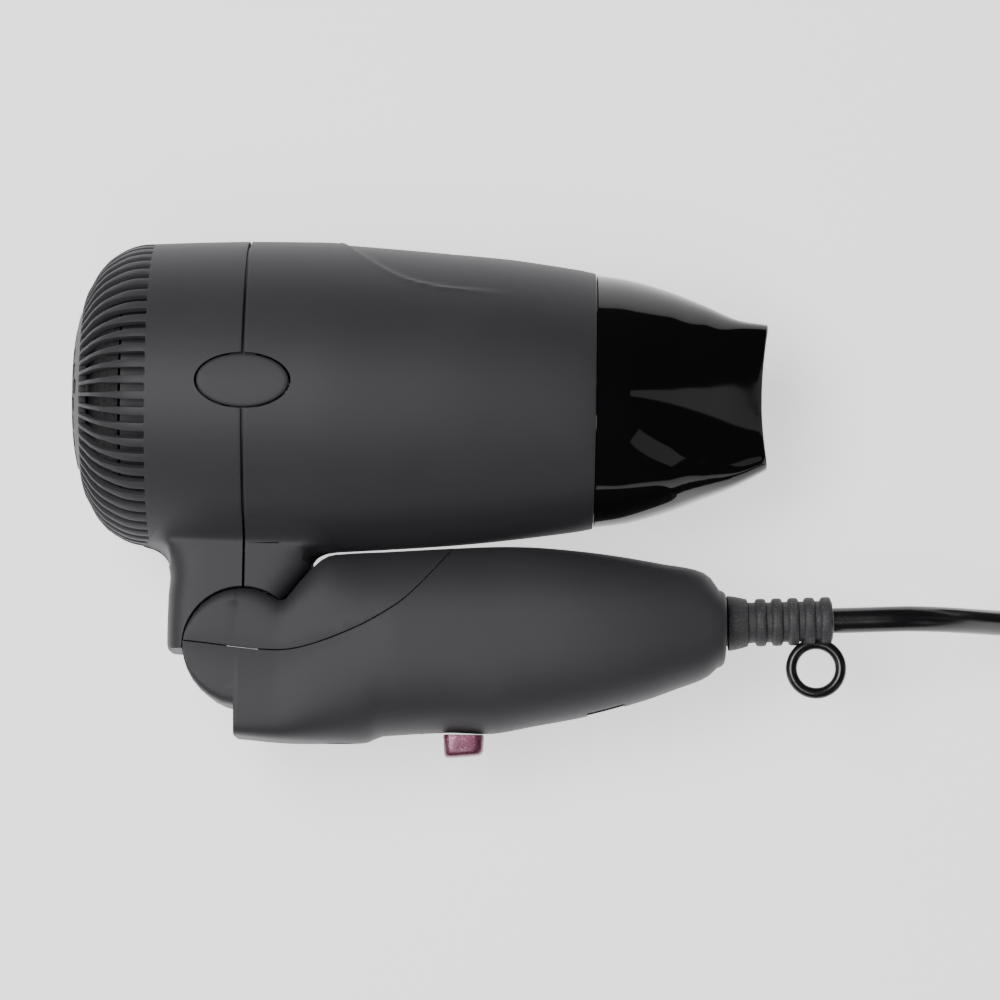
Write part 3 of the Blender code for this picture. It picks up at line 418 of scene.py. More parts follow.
def curve_value(points, x):
    """A smooth curve y(x) through the points, by Catmull-Rom slopes."""
    if x <= points[0][0]:
        return points[0][1]
    for index in range(len(points) - 1):
        (x0, y0), (x1, y1) = points[index], points[index + 1]
        if x <= x1:
            before = points[max(index - 1, 0)]
            after = points[min(index + 2, len(points) - 1)]
            slope0 = (y1 - before[1]) / max(x1 - before[0], 1e-6)
            slope1 = (after[1] - y0) / max(after[0] - x0, 1e-6)
            t = (x - x0) / (x1 - x0)
            run = x1 - x0
            return (y0 * (1 + 2 * t) * (1 - t) ** 2 + slope0 * run * t * (1 - t) ** 2
                    + y1 * t * t * (3 - 2 * t) + slope1 * run * t * t * (t - 1))
    return points[-1][1]


def along_profile(profile, spacing):
    """(x, radius) points along a smooth curve through the profile, about evenly spaced."""
    route = smooth_route([(x, r, 0.0) for x, r in profile], spacing)
    return [(point.x, point.y) for point in route]


def smooth_route(points, spacing):
    """A Catmull-Rom curve through the points, read at about the given spacing."""
    route = [Vector(point) for point in points]
    padded = [route[0] * 2 - route[1], *route, route[-1] * 2 - route[-2]]
    result = []
    for before, start, end, after in zip(padded, padded[1:], padded[2:], padded[3:]):
        count = max(1, round((end - start).length / spacing))
        for index in range(count):
            t = index / count
            result.append(0.5 * (2 * start + (end - before) * t
                                 + (2 * before - 5 * start + 4 * end - after) * t * t
                                 + (3 * start - before - 3 * end + after) * t * t * t))
    return [*result, route[-1]]


def turned(name, profile, steps=96, smooth_angle=35):
    """A closed ring section of (x, radius) points spun round the barrel's axis."""
    rings = [[(x, r * math.cos(2 * math.pi * s / steps), r * math.sin(2 * math.pi * s / steps))
              for s in range(steps)] for x, r in profile]
    return loft(name, rings, closed=True, smooth_angle=smooth_angle)


def extruded(name, outline, low_z, high_z):
    points = [(x, y, low_z) for x, y in outline] + [(x, y, high_z) for x, y in outline]
    count = len(outline)
    faces = grid_faces(2, count) + [tuple(range(count)), tuple(range(count, 2 * count))]
    return mesh_from(name, points, faces)


def arc(centre, radius, start, end, count):
    turns = [math.radians(start + (end - start) * index / (count - 1)) for index in range(count)]
    return [(centre[0] + radius * math.cos(turn), centre[1] + radius * math.sin(turn)) for turn in turns]


def oval_prism(grow, low_z=-45.0, high_z=45.0):
    outline = [((10.1 + grow) * x, (5.6 + grow) * y) for x, y in arc((0, 0), 1.0, 2.5, 357.5, 72)]
    return extruded("oval_prism", outline, low_z, high_z)


def rounded_ring(x, half_height, half_width, centre_y=0.0, count=64, power=0.5, shift=None):
    """A superellipse section across X; shift moves each point along X by its height."""
    ring = []
    for index in range(count):
        turn = 2 * math.pi * (index + 0.5) / count
        up = signed_power(math.cos(turn), power)
        out = signed_power(math.sin(turn), power)
        ring.append((x + (shift(up) if shift else 0.0), centre_y + half_height * up, half_width * out))
    return ring


# ---------------------------------------------------------------- barrel

def rear_shell_mesh():
    """The finned rear: 60 slots between meridional ribs, widest where the shell curves in."""
    slots = 60
    profile = along_profile([point for point in REAR_OUTSIDE if point[1] > 20.5], 0.75)
    rows = len(profile)
    front_x, rear_x = -22.3, -37.9

    def half_width(x, radius):
        if not rear_x <= x <= front_x:
            return None
        straight = 0.85 + 0.25 * min(max((-26.5 - x) / 5.0, 0.0), 1.0)
        limit = math.pi * radius / slots - 0.42
        return min(straight, limit)

    points = []
    for x, radius in profile:
        half = half_width(x, radius) or 0.8
        edge = half / radius
        pitch = 2 * math.pi / slots
        for index in range(slots):
            middle = (index + 0.5) * pitch
            for turn in (middle - edge, middle, middle + edge, middle + pitch / 2):
                points.append((x, radius * math.cos(turn), radius * math.sin(turn)))

    def keep(row, column):
        x = (profile[row][0] + profile[row + 1][0]) / 2
        return not (column % 4 in (0, 1) and rear_x <= x <= front_x)

    return mesh_from("rear_shell", points, grid_faces(rows, slots * 4, keep=keep))


def front_shell_mesh():
    """The smooth front, with the low style crease that sweeps down from the top edge."""
    columns = 240
    profile = along_profile(FRONT_OUTSIDE, 0.8)
    points = []
    for x, radius in profile:
        for index in range(columns):
            turn = 2 * math.pi * index / columns
            y = radius * math.sin(turn)
            depth = 0.0
            if 20.5 < x < 60.0 and y > 0:
                over = (y - curve_value(CREASE, x)) / 0.55
                fade = min(1.0, (60.5 - x) / 14.0)
                depth = 0.42 * fade * min(max(over + 0.5, 0.0), 1.0)
                depth -= 0.16 * fade * math.exp(-((over + 0.8) / 0.8) ** 2)
            r = radius - depth
            points.append((x, r * math.sin(turn), r * math.cos(turn)))
    return mesh_from("front_shell", points, grid_faces(len(profile), columns))


def barrel_radius(x):
    return curve_value(REAR_OUTSIDE if x < -0.3 else FRONT_OUTSIDE, x)


def neck_mesh(side):
    """Half of the neck: flared at the barrel, hollowed round the hinge head."""
    left = [(-59.3, -17.3), (-58.1, -17.6), (-47.0, -17.5), (-42.8, -17.2), (-40.1, -17.6), (-38.7, -18.1),
            (-37.3, -19.2), (-35.9, -21.5), (-34.8, -25.7), (-33.6, -30.0)]
    right = [(-59.3, 5.0), (-48.4, 8.2), (-46.6, 9.7), (-43.0, 12.5), (-39.7, 15.0), (-38.3, 15.7),
             (-36.9, 17.2), (-35.9, 20.4), (-35.3, 25.5), (-34.6, 31.0)]
    rings = []
    height = -59.3
    core_low, core_high = -16.8, 13.4
    while height < -27.9:
        first = max(curve_value(left, height), -24.0)
        last = min(curve_value(right, height), 25.0)
        ring = []
        for index in range(128):
            turn = 2 * math.pi * (index + 0.5) / 128
            across = signed_power(math.cos(turn), 0.32)
            out = signed_power(math.sin(turn), 0.42)
            x = (first + last) / 2 + (last - first) / 2 * across
            blend = 1.0
            if first < core_low - 1.0 and x < core_low:
                blend = (x - first) / (core_low - first)
            if last > core_high + 2.0 and x > core_high:
                blend = (last - x) / (last - core_high)
            barrel_z = math.sqrt(max(barrel_radius(x) ** 2 - height ** 2, 0.0))
            apart = max(7.0 - abs(barrel_z - 15.0), 0.0)
            fillet_z = max(barrel_z, 15.0) + apart * apart / 28.0
            sunk = barrel_z - 0.15
            ring.append((x, height, out * (sunk + (fillet_z - sunk) * blend * blend * (3 - 2 * blend))))
        rings.append(ring)
        height += 0.8 if height < -40.0 else 0.35
    solid = loft(f"neck_{side}", rings)
    seat = extruded("seat", arc(HINGE, HEAD_RADIUS + 0.3, 0, 357, 120), -30, 30)
    inside = turned("inside", [(-70, 20.0), (-70, 34.2), (70, 34.2), (70, 20.0)], 160)
    cut_x = (-0.3, 60.0) if side == "rear" else (-60.0, 0.3)
    other = extruded("other", [(cut_x[0], -80), (cut_x[1], -80), (cut_x[1], 0), (cut_x[0], 0)], -40, 40)
    hollow = extruded("hollow", [(-11.5, -42.6), (10.0, -42.6), (10.0, -20.0), (-11.5, -20.0)], -12, 12)
    tongue = extruded("tongue", [(-6.0, -52.0), (6.0, -52.0), (6.0, -40.0), (-6.0, -40.0)], -7.0, 7.0)
    return cut_by(solid, seat, inside, other, hollow, tongue)


def honeycomb_mesh():
    """The domed middle of the rear face: hexagonal cells in a web that follows the dome."""
    pitch = 4.4
    outer = 21.3
    curve = bpy.data.curves.new("honeycomb", "CURVE")
    curve.dimensions = "2D"
    curve.fill_mode = "BOTH"
    curve.extrude = 0.8 * MM
    outlines = [arc((0, 0), outer, 0, 356.25, 96)]
    for row in range(-5, 6):
        for column in range(-8, 9):
            centre = ((column + row / 2) * pitch, row * pitch * math.sqrt(3) / 2)
            if math.hypot(*centre) > outer - 2.9:
                continue
            outlines.append([point for first, second in zip(arc(centre, 2.12, 30, 330, 6),
                                                            arc(centre, 2.12, 90, 390, 6))
                             for point in (first, ((first[0] + second[0]) / 2, (first[1] + second[1]) / 2))])
    for outline in outlines:
        spline = curve.splines.new("POLY")
        spline.points.add(len(outline) - 1)
        for point, (x, y) in zip(spline.points, outline):
            point.co = (x * MM, y * MM, 0.0, 1.0)
        spline.use_cyclic_u = True
    holder = bpy.data.objects.new("holder", curve)
    bpy.context.scene.collection.objects.link(holder)
    mesh = bpy.data.meshes.new_from_object(holder.evaluated_get(bpy.context.evaluated_depsgraph_get()))
    bpy.data.objects.remove(holder, do_unlink=True)
    dome = sorted((r, x) for x, r in REAR_OUTSIDE if r < 24)
    for vertex in mesh.vertices:
        radius = vertex.co.xy.length / MM
        x = curve_value(dome, radius) + (0.8 + vertex.co.z / MM)
        vertex.co = world((x, vertex.co.y / MM, vertex.co.x / MM))
    bm = bmesh.new()
    bm.from_mesh(mesh)
    bmesh.ops.remove_doubles(bm, verts=bm.verts, dist=0.000002)
    bmesh.ops.recalc_face_normals(bm, faces=bm.faces)
    bm.to_mesh(mesh)
    bm.free()
    mesh.shade_smooth()
    mesh.set_sharp_from_angle(angle=math.radians(30))
    return mesh


def side_cap_mesh(sign):
    """An oval cap that follows the barrel, its edge softly rounded into the dark groove."""
    rings = []
    for scale, drop in ((0.02, 0.0), (0.25, 0.0), (0.5, 0.0), (0.75, 0.0), (0.9, 0.0), (0.965, 0.05),
                        (0.99, 0.18), (1.0, 0.45), (1.0, 1.6), (0.5, 1.6), (0.02, 1.6)):
        ring = []
        for x, y in arc((0, 0), 1.0, 0, 355, 72):
            px = 10.4 * x * scale
            py = 6.0 * y * scale
            surface = math.sqrt(35.86 ** 2 - py ** 2)
            ring.append((px, py, sign * (surface - drop)))
        rings.append(ring)
    return loft("side_cap", rings, smooth_angle=60)


def nozzle_mesh():
    """Glossy nozzle: round where it meets the barrel, a tall slot with a dished rim in front."""
    count = 144

    def station(x):
        return [curve_value([(item[0], item[part]) for item in NOZZLE_STATIONS], x) for part in (1, 2, 3)]

    def ring(x, shrink, dish):
        top, bottom, depth = station(x)
        flat = min(max((x - 82.0) / 38.0, 0.0), 1.0)
        power = 1.0 - 0.42 * eased(flat)
        points = []
        for index in range(count):
            turn = 2 * math.pi * (index + 0.5) / count
            up = signed_power(math.sin(turn), power)
            out = signed_power(math.cos(turn), power)
            height = (top if up > 0 else bottom) - shrink
            back = dish * (1.0 - up * up) * 1.6
            points.append((x - back, height * up, (depth - shrink) * out))
        return points

    def dish_at(x):
        return max(0.0, (x - NOZZLE_DISH_FROM) / (last - NOZZLE_DISH_FROM)) ** 2

    last = NOZZLE_END
    steps = [80.15 + (last - 80.15) * index / 44 for index in range(45)]
    outer = [ring(79.95, 0.15, 0.0)] + [ring(x, 0.0, dish_at(x)) for x in steps]
    lip = [ring(last + 0.25, 0.25, 1.0), ring(last + 0.3, 0.8, 1.0), ring(last + 0.2, 1.25, 1.0)]
    inner = [ring(x, 1.6, dish_at(x)) for x in reversed(steps)]

    def round_ring(x, radius):
        return [(x, radius * math.sin(2 * math.pi * (index + 0.5) / count),
                 radius * math.cos(2 * math.pi * (index + 0.5) / count)) for index in range(count)]

    sleeve = [round_ring(80.0, 25.8), round_ring(73.0, 25.8), round_ring(73.0, 27.6), round_ring(79.9, 27.6)]
    return loft("nozzle", outer + lip + inner + sleeve, closed=True, smooth_angle=35)


# ---------------------------------------------------------------- handle

def handle_ring(x, shrink=0.0, factor=1.0, at=None):
    """One cross-section of the handle, flatter at the hinge head's cheeks."""
    rise = math.sqrt(max(HEAD_RADIUS ** 2 - x ** 2, 0.0)) if abs(x) < HEAD_RADIUS else 0.0
    top = HINGE[1] + rise if x < HANDLE_TOP[0][0] else curve_value(HANDLE_TOP, x)
    back = HINGE[1] - rise if x < STEP_X - 0.03 else curve_value(HANDLE_BACK, x)
    along = min(max((x - 8.0) / 26.0, 0.0), 1.0)
    taper = max(0.0, (x - 70.0) / 40.6)
    width = 15.5 + 1.5 * along - 4.5 * taper ** 2
    power = 2 / (2.6 + 9.4 * (1.0 - min(max((x + 2.0) / 36.0, 0.0), 1.0)) ** 2)
    height = max((top - back) / 2 - shrink, 0.4)
    return rounded_ring(x if at is None else at, height * factor, (width - shrink) * factor,
                        (top + back) / 2, 72, power)


def handle_solid():
    stations = [-13.55, -13.2, -12.5, -11.2, -9.4, -7.0, -4.4, STEP_X - 0.05, STEP_X + 0.05, -0.6]
    x = 1.5
    while x < 108.6:
        stations.append(x)
        x += 1.6
    rings = [handle_ring(station) for station in stations]
    rings += [handle_ring(109.0, 0.0, factor, at) for factor, at in
              ((0.995, 109.0), (0.975, 109.6), (0.94, 110.1), (0.89, 110.45), (0.82, 110.6))]
    return loft("handle_solid", rings)


def handle_inside():
    return loft("handle_inside", [handle_ring(15.0 + 93.0 * index / 24, 1.8) for index in range(25)])


def parting_block(shift):
    line = [(point.x, point.y) for point in smooth_route([(x, y + shift, 0) for x, y in PARTING], 1.2)]
    return extruded("parting_block", line + [(53.0, 10.0), (-20.0, 10.0)], -30, 30)


def tilted_box(name, low, high, frame_matrix):
    points = [frame_matrix @ Vector((x, y, z)) for x in (low[0], high[0]) for y in (low[1], high[1])
              for z in (low[2], high[2])]
    faces = [(0, 1, 3, 2), (4, 6, 7, 5), (0, 4, 5, 1), (2, 3, 7, 6), (0, 2, 6, 4), (1, 5, 7, 3)]
    return mesh_from(name, points, faces)


def rod_mesh(name, start, end, radius, count=48):
    way = (Vector(end) - Vector(start)).normalized()
    side = way.orthogonal().normalized()
    other = way.cross(side)
    rings = [[Vector(centre) + (side * math.cos(t) + other * math.sin(t)) * radius
              for t in (2 * math.pi * index / count for index in range(count))] for centre in (start, end)]
    return loft(name, rings)


DIAL_FRAME = (Matrix.Translation((83.2, -70.9, 0.0)) @ Matrix.Rotation(math.atan2(2.3, 9.0), 4, "Z")
              @ Matrix.Rotation(math.radians(90), 4, "X"))


def handle_meshes():
    """The handle's two mouldings, split along the S-shaped parting line."""
    solid = handle_solid()
    tongue_line = arc(HINGE, 22.0, 54, 209, 30) + arc(HINGE, 8.6, 209, 414, 40)
    tongue_slot = extruded("tongue_slot", tongue_line, -8, 8)
    pin = rod_mesh("pin", (*HINGE, -13.3), (*HINGE, 13.3), 3.9)
    cover = cut_by(solid.copy(), parting_block(0.15), operation="INTERSECT")
    cover = cut_by(cover, handle_inside(), tongue_slot.copy(), pin.copy())
    boot_hole = rod_mesh("boot_hole", (104.0, -51.3, 0), (113.0, -51.0, 0), 5.9)
    knob_slot = extruded("knob_slot", [(40.6, -84), (52.8, -84), (52.8, -72), (40.6, -72)], -2.0, 2.0)
    recess = tilted_box("recess", (-4.5, -5.5, 0.0), (4.5, 5.5, 5.0), DIAL_FRAME)
    dial_hole = rod_mesh("dial_hole", DIAL_FRAME @ Vector((0, 0, -5)), DIAL_FRAME @ Vector((0, 0, 1)), 4.3)
    counterbore = rod_mesh("counterbore", (22, -84, 0), (22, -71, 0), 3.3)
    shell = cut_by(solid, parting_block(-0.15), handle_inside(), tongue_slot, pin, boot_hole, knob_slot,
                   recess, dial_hole, counterbore)
    return shell, cover


def knob_mesh():
    """The slide knob: a soft-cornered block, narrower at its tip."""
    rings = []
    for y, scale in ((-77.75, 0.98), (-78.2, 1.0), (-81.0, 0.97), (-81.8, 0.95), (-82.3, 0.90), (-82.6, 0.80),
                     (-82.68, 0.6), (-82.7, 0.05)):
        ring = []
        for index in range(64):
            turn = 2 * math.pi * (index + 0.5) / 64
            x = 4.7 * scale * signed_power(math.cos(turn), 0.36)
            z = 5.5 * scale * signed_power(math.sin(turn), 0.36)
            ring.append((50.7 + x, y + 0.045 * (x if y < -81.0 else 0.0) * 2, z))
        rings.append(ring)
    return loft("switch_knob_cap", rings, smooth_angle=50)


# ---------------------------------------------------------------- boot, cord and plug

def along_axis(name, start, way, profile, steps=72):
    """Spin (distance, radius) points about a line; both ends are closed."""
    side = way.orthogonal().normalized()
    other = way.cross(side)
    rings = [[start + way * distance + (side * math.cos(t) + other * math.sin(t)) * radius
              for t in (2 * math.pi * index / steps for index in range(steps))]
             for distance, radius in profile]
    return loft(name, rings, smooth_angle=50)


def boot_mesh():
    """Five rounded ribs on a tapering sleeve, keyed through the end of the handle."""
    length = (BOOT_END - BOOT_START).length
    profile = [(-4.6, 3.0), (-4.6, 6.4), (-2.6, 6.4), (-2.6, 5.2), (0.6, 5.2), (0.62, 6.1), (0.75, 6.4),
               (2.5, 6.15), (4.6, 5.65), (5.2, 5.45), (5.45, 4.75)]
    for index in range(RIB_COUNT):
        middle = length - 1.5 - (RIB_COUNT - 1 - index) * RIB_PITCH
        for offset, radius in ((-1.32, 4.66), (-1.18, 5.1), (-0.95, 5.4), (-0.5, 5.52), (0.5, 5.52),
                               (0.95, 5.4), (1.18, 5.1), (1.32, 4.66)):
            profile.append((min(middle + offset, length), radius))
    profile += [(length, 4.3), (length, 3.05)]
    return along_axis("cord_boot_ribbed", BOOT_START, BOOT_WAY, profile)


def loop_mesh():
    centre = (131.7, -61.2)
    rings = [[((centre[0] + (5.7 + 1.3 * math.cos(t)) * math.cos(u)), centre[1] + (5.7 + 1.3 * math.cos(t))
               * math.sin(u), 1.3 * math.sin(t)) for t in (2 * math.pi * i / 24 for i in range(24))]
             for u in (2 * math.pi * j / 72 for j in range(72))]
    ring = loft("hanging_loop", rings, closed=True)
    web = [rounded_ring(x, half, 1.15, -55.2, 32, 0.7) for x, half in
           ((128.6, 0.5), (129.4, 1.0), (130.4, 1.25), (133.0, 1.25), (134.0, 1.0), (134.8, 0.5))]
    return cut_by(ring, loft("web", web), operation="UNION")


def cord_route():
    """Lead to the floor, turns of the coil side by side and in layers, then up to the plug."""
    lead = smooth_route(LEAD_POINTS, 5.0)
    places = [(5.9, 0), (0.0, 0), (-5.9, 0), (-5.9, 1), (0.0, 1), (5.9, 1), (5.9, 2), (0.0, 2)]
    step = 40
    turns = []
    start_turn = math.radians(-82)
    count = int(step * COIL_TURNS)
    for index in range(count + 1):
        progress = index / step
        number = min(int(progress), len(places) - 1)
        after = min(number + 1, len(places) - 1)
        part = min(max((progress - number - 0.72) / 0.28, 0.0), 1.0)
        part = eased(part)
        radius = COIL_RADIUS + places[number][0] * (1 - part) + places[after][0] * part
        layer = places[number][1] * (1 - part) + places[after][1] * part
        climb = min(max((progress - 7.48) / 0.24, 0.0), 1.0)
        height = COIL_LOW + CORD_DIAMETER / 2 + CORD_DIAMETER * layer + 6.2 * eased(climb)
        angle = start_turn + 2 * math.pi * progress
        turns.append(Vector((COIL_CENTRE[0] + radius * math.cos(angle),
                             COIL_CENTRE[1] + radius * math.sin(angle), height)))
    tail = smooth_route([turns[-2], turns[-1], *TAIL_POINTS], 4.0)[2:]
    return lead[:-1] + turns + tail


def cord_curve(route):
    curve = bpy.data.curves.new("mains_cord", "CURVE")
    curve.dimensions = "3D"
    curve.bevel_depth = CORD_DIAMETER / 2 * MM
    curve.bevel_resolution = 5
    curve.use_fill_caps = True
    spline = curve.splines.new("POLY")
    spline.points.add(len(route) - 1)
    for point, place in zip(spline.points, route):
        point.co = (*world(place), 1.0)
    spline.use_smooth = True
    return curve


def tie_mesh():
    """A soft strap round the coil's bundle, rounded at its corners."""
    y = COIL_CENTRE[1] + COIL_RADIUS
    z = (COIL_LOW + COIL_TOP) / 2
    outside = ((-4.5, -0.15), (-4.3, 0.0), (4.3, 0.0), (4.5, -0.15))
    sizes = [(x, 9.95 + 0.5 + grow, 9.45 + grow) for x, grow in outside]
    sizes += [(x, 9.85, 8.95) for x in (4.4, -4.4)]
    rings = [[(COIL_CENTRE[0] + x, y + a, z + b) for a, b in rounded_strap(half_across, half_up)]
             for x, half_across, half_up in sizes]
    return loft("coil_tie", rings, closed=True)


def rounded_strap(half_across, half_up):
    return [(half_across * signed_power(math.cos(t), 0.35), half_up * signed_power(math.sin(t), 0.35))
            for t in (2 * math.pi * (index + 0.5) / 80 for index in range(80))]


def plug_mesh():
    """Two-pin contour plug: waisted grip with ridges, flat face, tapered cable sleeve."""
    y, z = PLUG_AXIS
    rear = PLUG_REAR_X
    stations = [(-14.0, 3.2, 3.2), (-13.9, 3.9, 3.9), (-13.0, 4.0, 4.0), (-7.0, 4.7, 4.7), (0.0, 5.6, 5.6),
                (2.0, 7.2, 6.8), (4.0, 9.2, 8.2), (7.0, 12.0, 9.6), (10.0, 14.0, 10.5), (14.0, 15.0, 10.9),
                (18.0, 15.6, 11.2), (22.0, 16.3, 11.7), (27.0, 17.5, 12.4), (28.0, 17.7, 12.5),
                (33.0, 17.7, 12.5), (33.7, 17.45, 12.25), (34.0, 16.9, 11.7)]
    rings = []
    for along, half_width, half_height in stations:
        ring = []
        for index in range(64):
            t = 2 * math.pi * (index + 0.5) / 64
            ring.append((rear + along, y + half_width * signed_power(math.cos(t), 0.62),
                         z + half_height * signed_power(math.sin(t), 0.72)))
        rings.append(ring)
    body = loft("plug_grip", rings)
    for index in range(4):
        groove_x = rear + 11.5 + index * 3.2
        for side in (-1, 1):
            groove_z = z + side * 12.4
            groove = rod_mesh("groove", (groove_x, y - 9, groove_z), (groove_x, y + 9, groove_z), 1.7, 20)
            body = cut_by(body, groove)
    return body


# ---------------------------------------------------------------- settings shown in the sidebar

class DryerLooks(bpy.types.PropertyGroup):
    """Colours and finishes of the dryer."""

    shell_colour: bpy.props.FloatVectorProperty(
        name="Shell", description="Soft-touch charcoal of the housings and handle", subtype="COLOR",
        size=3, min=0.0, max=1.0, default=(0.036, 0.034, 0.039))
    shell_roughness: bpy.props.FloatProperty(
        name="Shell roughness", description="How matt the soft-touch finish is", subtype="FACTOR",
        min=0.0, max=1.0, default=0.56)
    nozzle_colour: bpy.props.FloatVectorProperty(
        name="Nozzle", description="Polished black of the nozzle", subtype="COLOR",
        size=3, min=0.0, max=1.0, default=(0.0035, 0.0035, 0.004))
    knob_colour: bpy.props.FloatVectorProperty(
        name="Knob", description="Metallic violet of the slide knob", subtype="COLOR",
        size=3, min=0.0, max=1.0, default=(0.20, 0.060, 0.108))
    edge_round: bpy.props.FloatProperty(
        name="Edge rounding", description="Rounding of the mouldings' edges", unit="LENGTH",
        subtype="DISTANCE", min=0.0, max=0.001, default=0.00022, precision=5)


class StudioLooks(bpy.types.PropertyGroup):
    """Camera and light of the studio."""

    camera_height: bpy.props.FloatProperty(
        name="Camera height", description="Distance from the camera to the fold plane", unit="LENGTH",
        subtype="DISTANCE", min=0.2, max=5.0, default=1.18)
    camera_elevation: bpy.props.FloatProperty(
        name="Camera elevation", description="Angle above the floor", unit="ROTATION", subtype="ANGLE",
        min=0.1, max=1.57, default=math.radians(85.0))
    camera_roll: bpy.props.FloatProperty(
        name="Camera roll", description="Turn of the picture", unit="ROTATION", subtype="ANGLE",
        min=-0.5, max=0.5, default=math.radians(0.79))
    lens: bpy.props.FloatProperty(
        name="Lens", description="Focal length in millimetres", min=20.0, max=400.0, default=183.7)


LOOKS = {}


def look(name):
    """Each finish is made once and shared by every piece that has it."""
    settings = bpy.context.scene.dryer_looks
    makers = {
        "charcoal_shell": lambda: soft_touch("charcoal_soft_touch", settings.shell_colour,
                                             settings.shell_roughness),
        "nozzle_black": lambda: polished_plastic("polished_black", settings.nozzle_colour),
        "violet_knob": lambda: violet_flake("violet_flake", settings.knob_colour),
        "dark_plastic": lambda: soft_touch("moulded_black", (0.016, 0.016, 0.018), 0.42),
        "gauze_painted_hole_shade": lambda: gauze_painted_hole_shade("gauze_painted_hole_shade", (0.010, 0.010, 0.011)),
        "boot_rubber": lambda: speckled_rubber("speckled_rubber", (0.030, 0.030, 0.032)),
        "cord_pvc": lambda: flexible_pvc("glossy_pvc", (0.007, 0.007, 0.008)),
        "steel": lambda: drawn_metal("plated_steel", (0.56, 0.56, 0.55), 0.24),
        "brass": lambda: drawn_metal("nickelled_brass", (0.68, 0.62, 0.50), 0.18),
        "mica": lambda: layered_board("pressed_mica", (0.40, 0.33, 0.22), (0.66, 0.58, 0.44)),
        "heating_wire": lambda: drawn_metal("resistance_wire", (0.36, 0.34, 0.32), 0.30),
        "circuit_board": lambda: layered_board("circuit_board", (0.05, 0.13, 0.04), (0.09, 0.20, 0.06), 2.4),
        "lead_wire": lambda: flexible_pvc("lead_sleeve", (0.30, 0.02, 0.015)),
    }
    if name not in LOOKS:
        LOOKS[name] = makers[name]()
    return LOOKS[name]


# ---------------------------------------------------------------- operators

class DRYER_OT_stage(bpy.types.Operator):
    """Pale floor, soft lights and the camera"""

    bl_idname = "dryer.stage"
    bl_label = "Studio"

    def execute(self, context):
        settings = context.scene.studio_looks
        floor = bpy.data.objects.new("studio_floor", extruded_floor())
        context.scene.collection.objects.link(floor)
        paint = Finish("studio_paper")
        mottle = paint.noise(180.0)
        paint.set(Base_Color=mix_colours(paint.tree, mottle, (0.86, 0.86, 0.86), (0.88, 0.88, 0.88)))
        paint.set(Roughness=0.9, Emission_Color=(1.0, 1.0, 1.0, 1.0), Emission_Strength=1.2)
        floor.data.materials.append(paint.material)
        add_light("key", (-0.34, 0.10, 1.05), (0.0, 0.0, 0.03), (0.6, 0.5), 11.0)
        add_light("handle_fill", (-0.15, -0.40, 1.0), (0.0, -0.04, 0.03), (0.5, 0.3), 2.4)
        add_light("rear_fill", (-0.85, -0.15, 0.45), (-0.03, 0.0, 0.03), (0.6, 0.6), 0.9)
        add_light("strip", (0.92, 0.10, 0.44), (0.07, 0.01, 0.04), (0.07, 0.85), 0.16)
        add_light("low_strip", (0.80, -0.55, 0.50), (0.07, 0.01, 0.04), (0.30, 0.45), 0.30)
        world_look = bpy.data.worlds.new("studio_air")
        world_look.use_nodes = True
        air = world_look.node_tree
        generated = node(air, "ShaderNodeTexCoord", {}, {}, output="Generated")
        height = node(air, "ShaderNodeSeparateXYZ", {}, {"Vector": generated}, output=2)
        glow = 1.0 - height.above(0.30, 0.28)
        air.links.new((glow * 0.55 + 0.05).socket, air.nodes["Background"].inputs["Strength"])
        context.scene.world = world_look

        camera_data = bpy.data.cameras.new("studio_camera")
        camera_data.lens = settings.lens
        camera_data.sensor_width = 36.0
        camera = bpy.data.objects.new("studio_camera", camera_data)
        context.scene.collection.objects.link(camera)
        aim = world(CAMERA_AIM)
        tilt = settings.camera_elevation
        camera.location = aim + Vector((0.0, -math.cos(tilt), math.sin(tilt))) * settings.camera_height
        roll = Matrix.Rotation(settings.camera_roll, 4, "Z")
        camera.rotation_euler = (Matrix.Rotation(math.radians(90) - tilt, 4, "X") @ roll).to_euler()
        context.scene.camera = camera
        return {"FINISHED"}


def extruded_floor():
    bm = bmesh.new()
    bmesh.ops.create_grid(bm, x_segments=8, y_segments=8, size=3.0)
    bmesh.ops.translate(bm, verts=bm.verts, vec=(0.0, 0.0, -0.0004))
    mesh = bpy.data.meshes.new("studio_floor")
    bm.to_mesh(mesh)
    bm.free()
    return mesh


def add_light(name, place, aim, size, watts):
    data = bpy.data.lights.new(name, "AREA")
    data.shape = "RECTANGLE"
    data.size, data.size_y = size
    data.energy = watts
    light = bpy.data.objects.new(name, data)
    bpy.context.scene.collection.objects.link(light)
    light.location = place
    light.rotation_euler = (Vector(aim) - Vector(place)).to_track_quat("-Z", "Y").to_euler()


class DRYER_OT_cord(bpy.types.Operator):
    """Mains cord with its coil, tie and plug"""

    bl_idname = "dryer.cord"
    bl_label = "Cord and plug"

    def execute(self, context):
        cord = bpy.data.objects.new("mains_cord", cord_curve(cord_route()))
        context.scene.collection.objects.link(cord)
        cord.data.materials.append(look("cord_pvc"))
        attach(cord, "handle")
        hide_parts("cord", "cord_coil", "cord_tail")
        tie = link_piece("coil_tie", tie_mesh(), "handle", look("boot_rubber"), ["cord_tie"])
        plug = link_piece("plug_grip", modified(plug_mesh(), bevel(0.35)), "handle", look("cord_pvc"),
                          ["plug_body"])
        return {"FINISHED"}


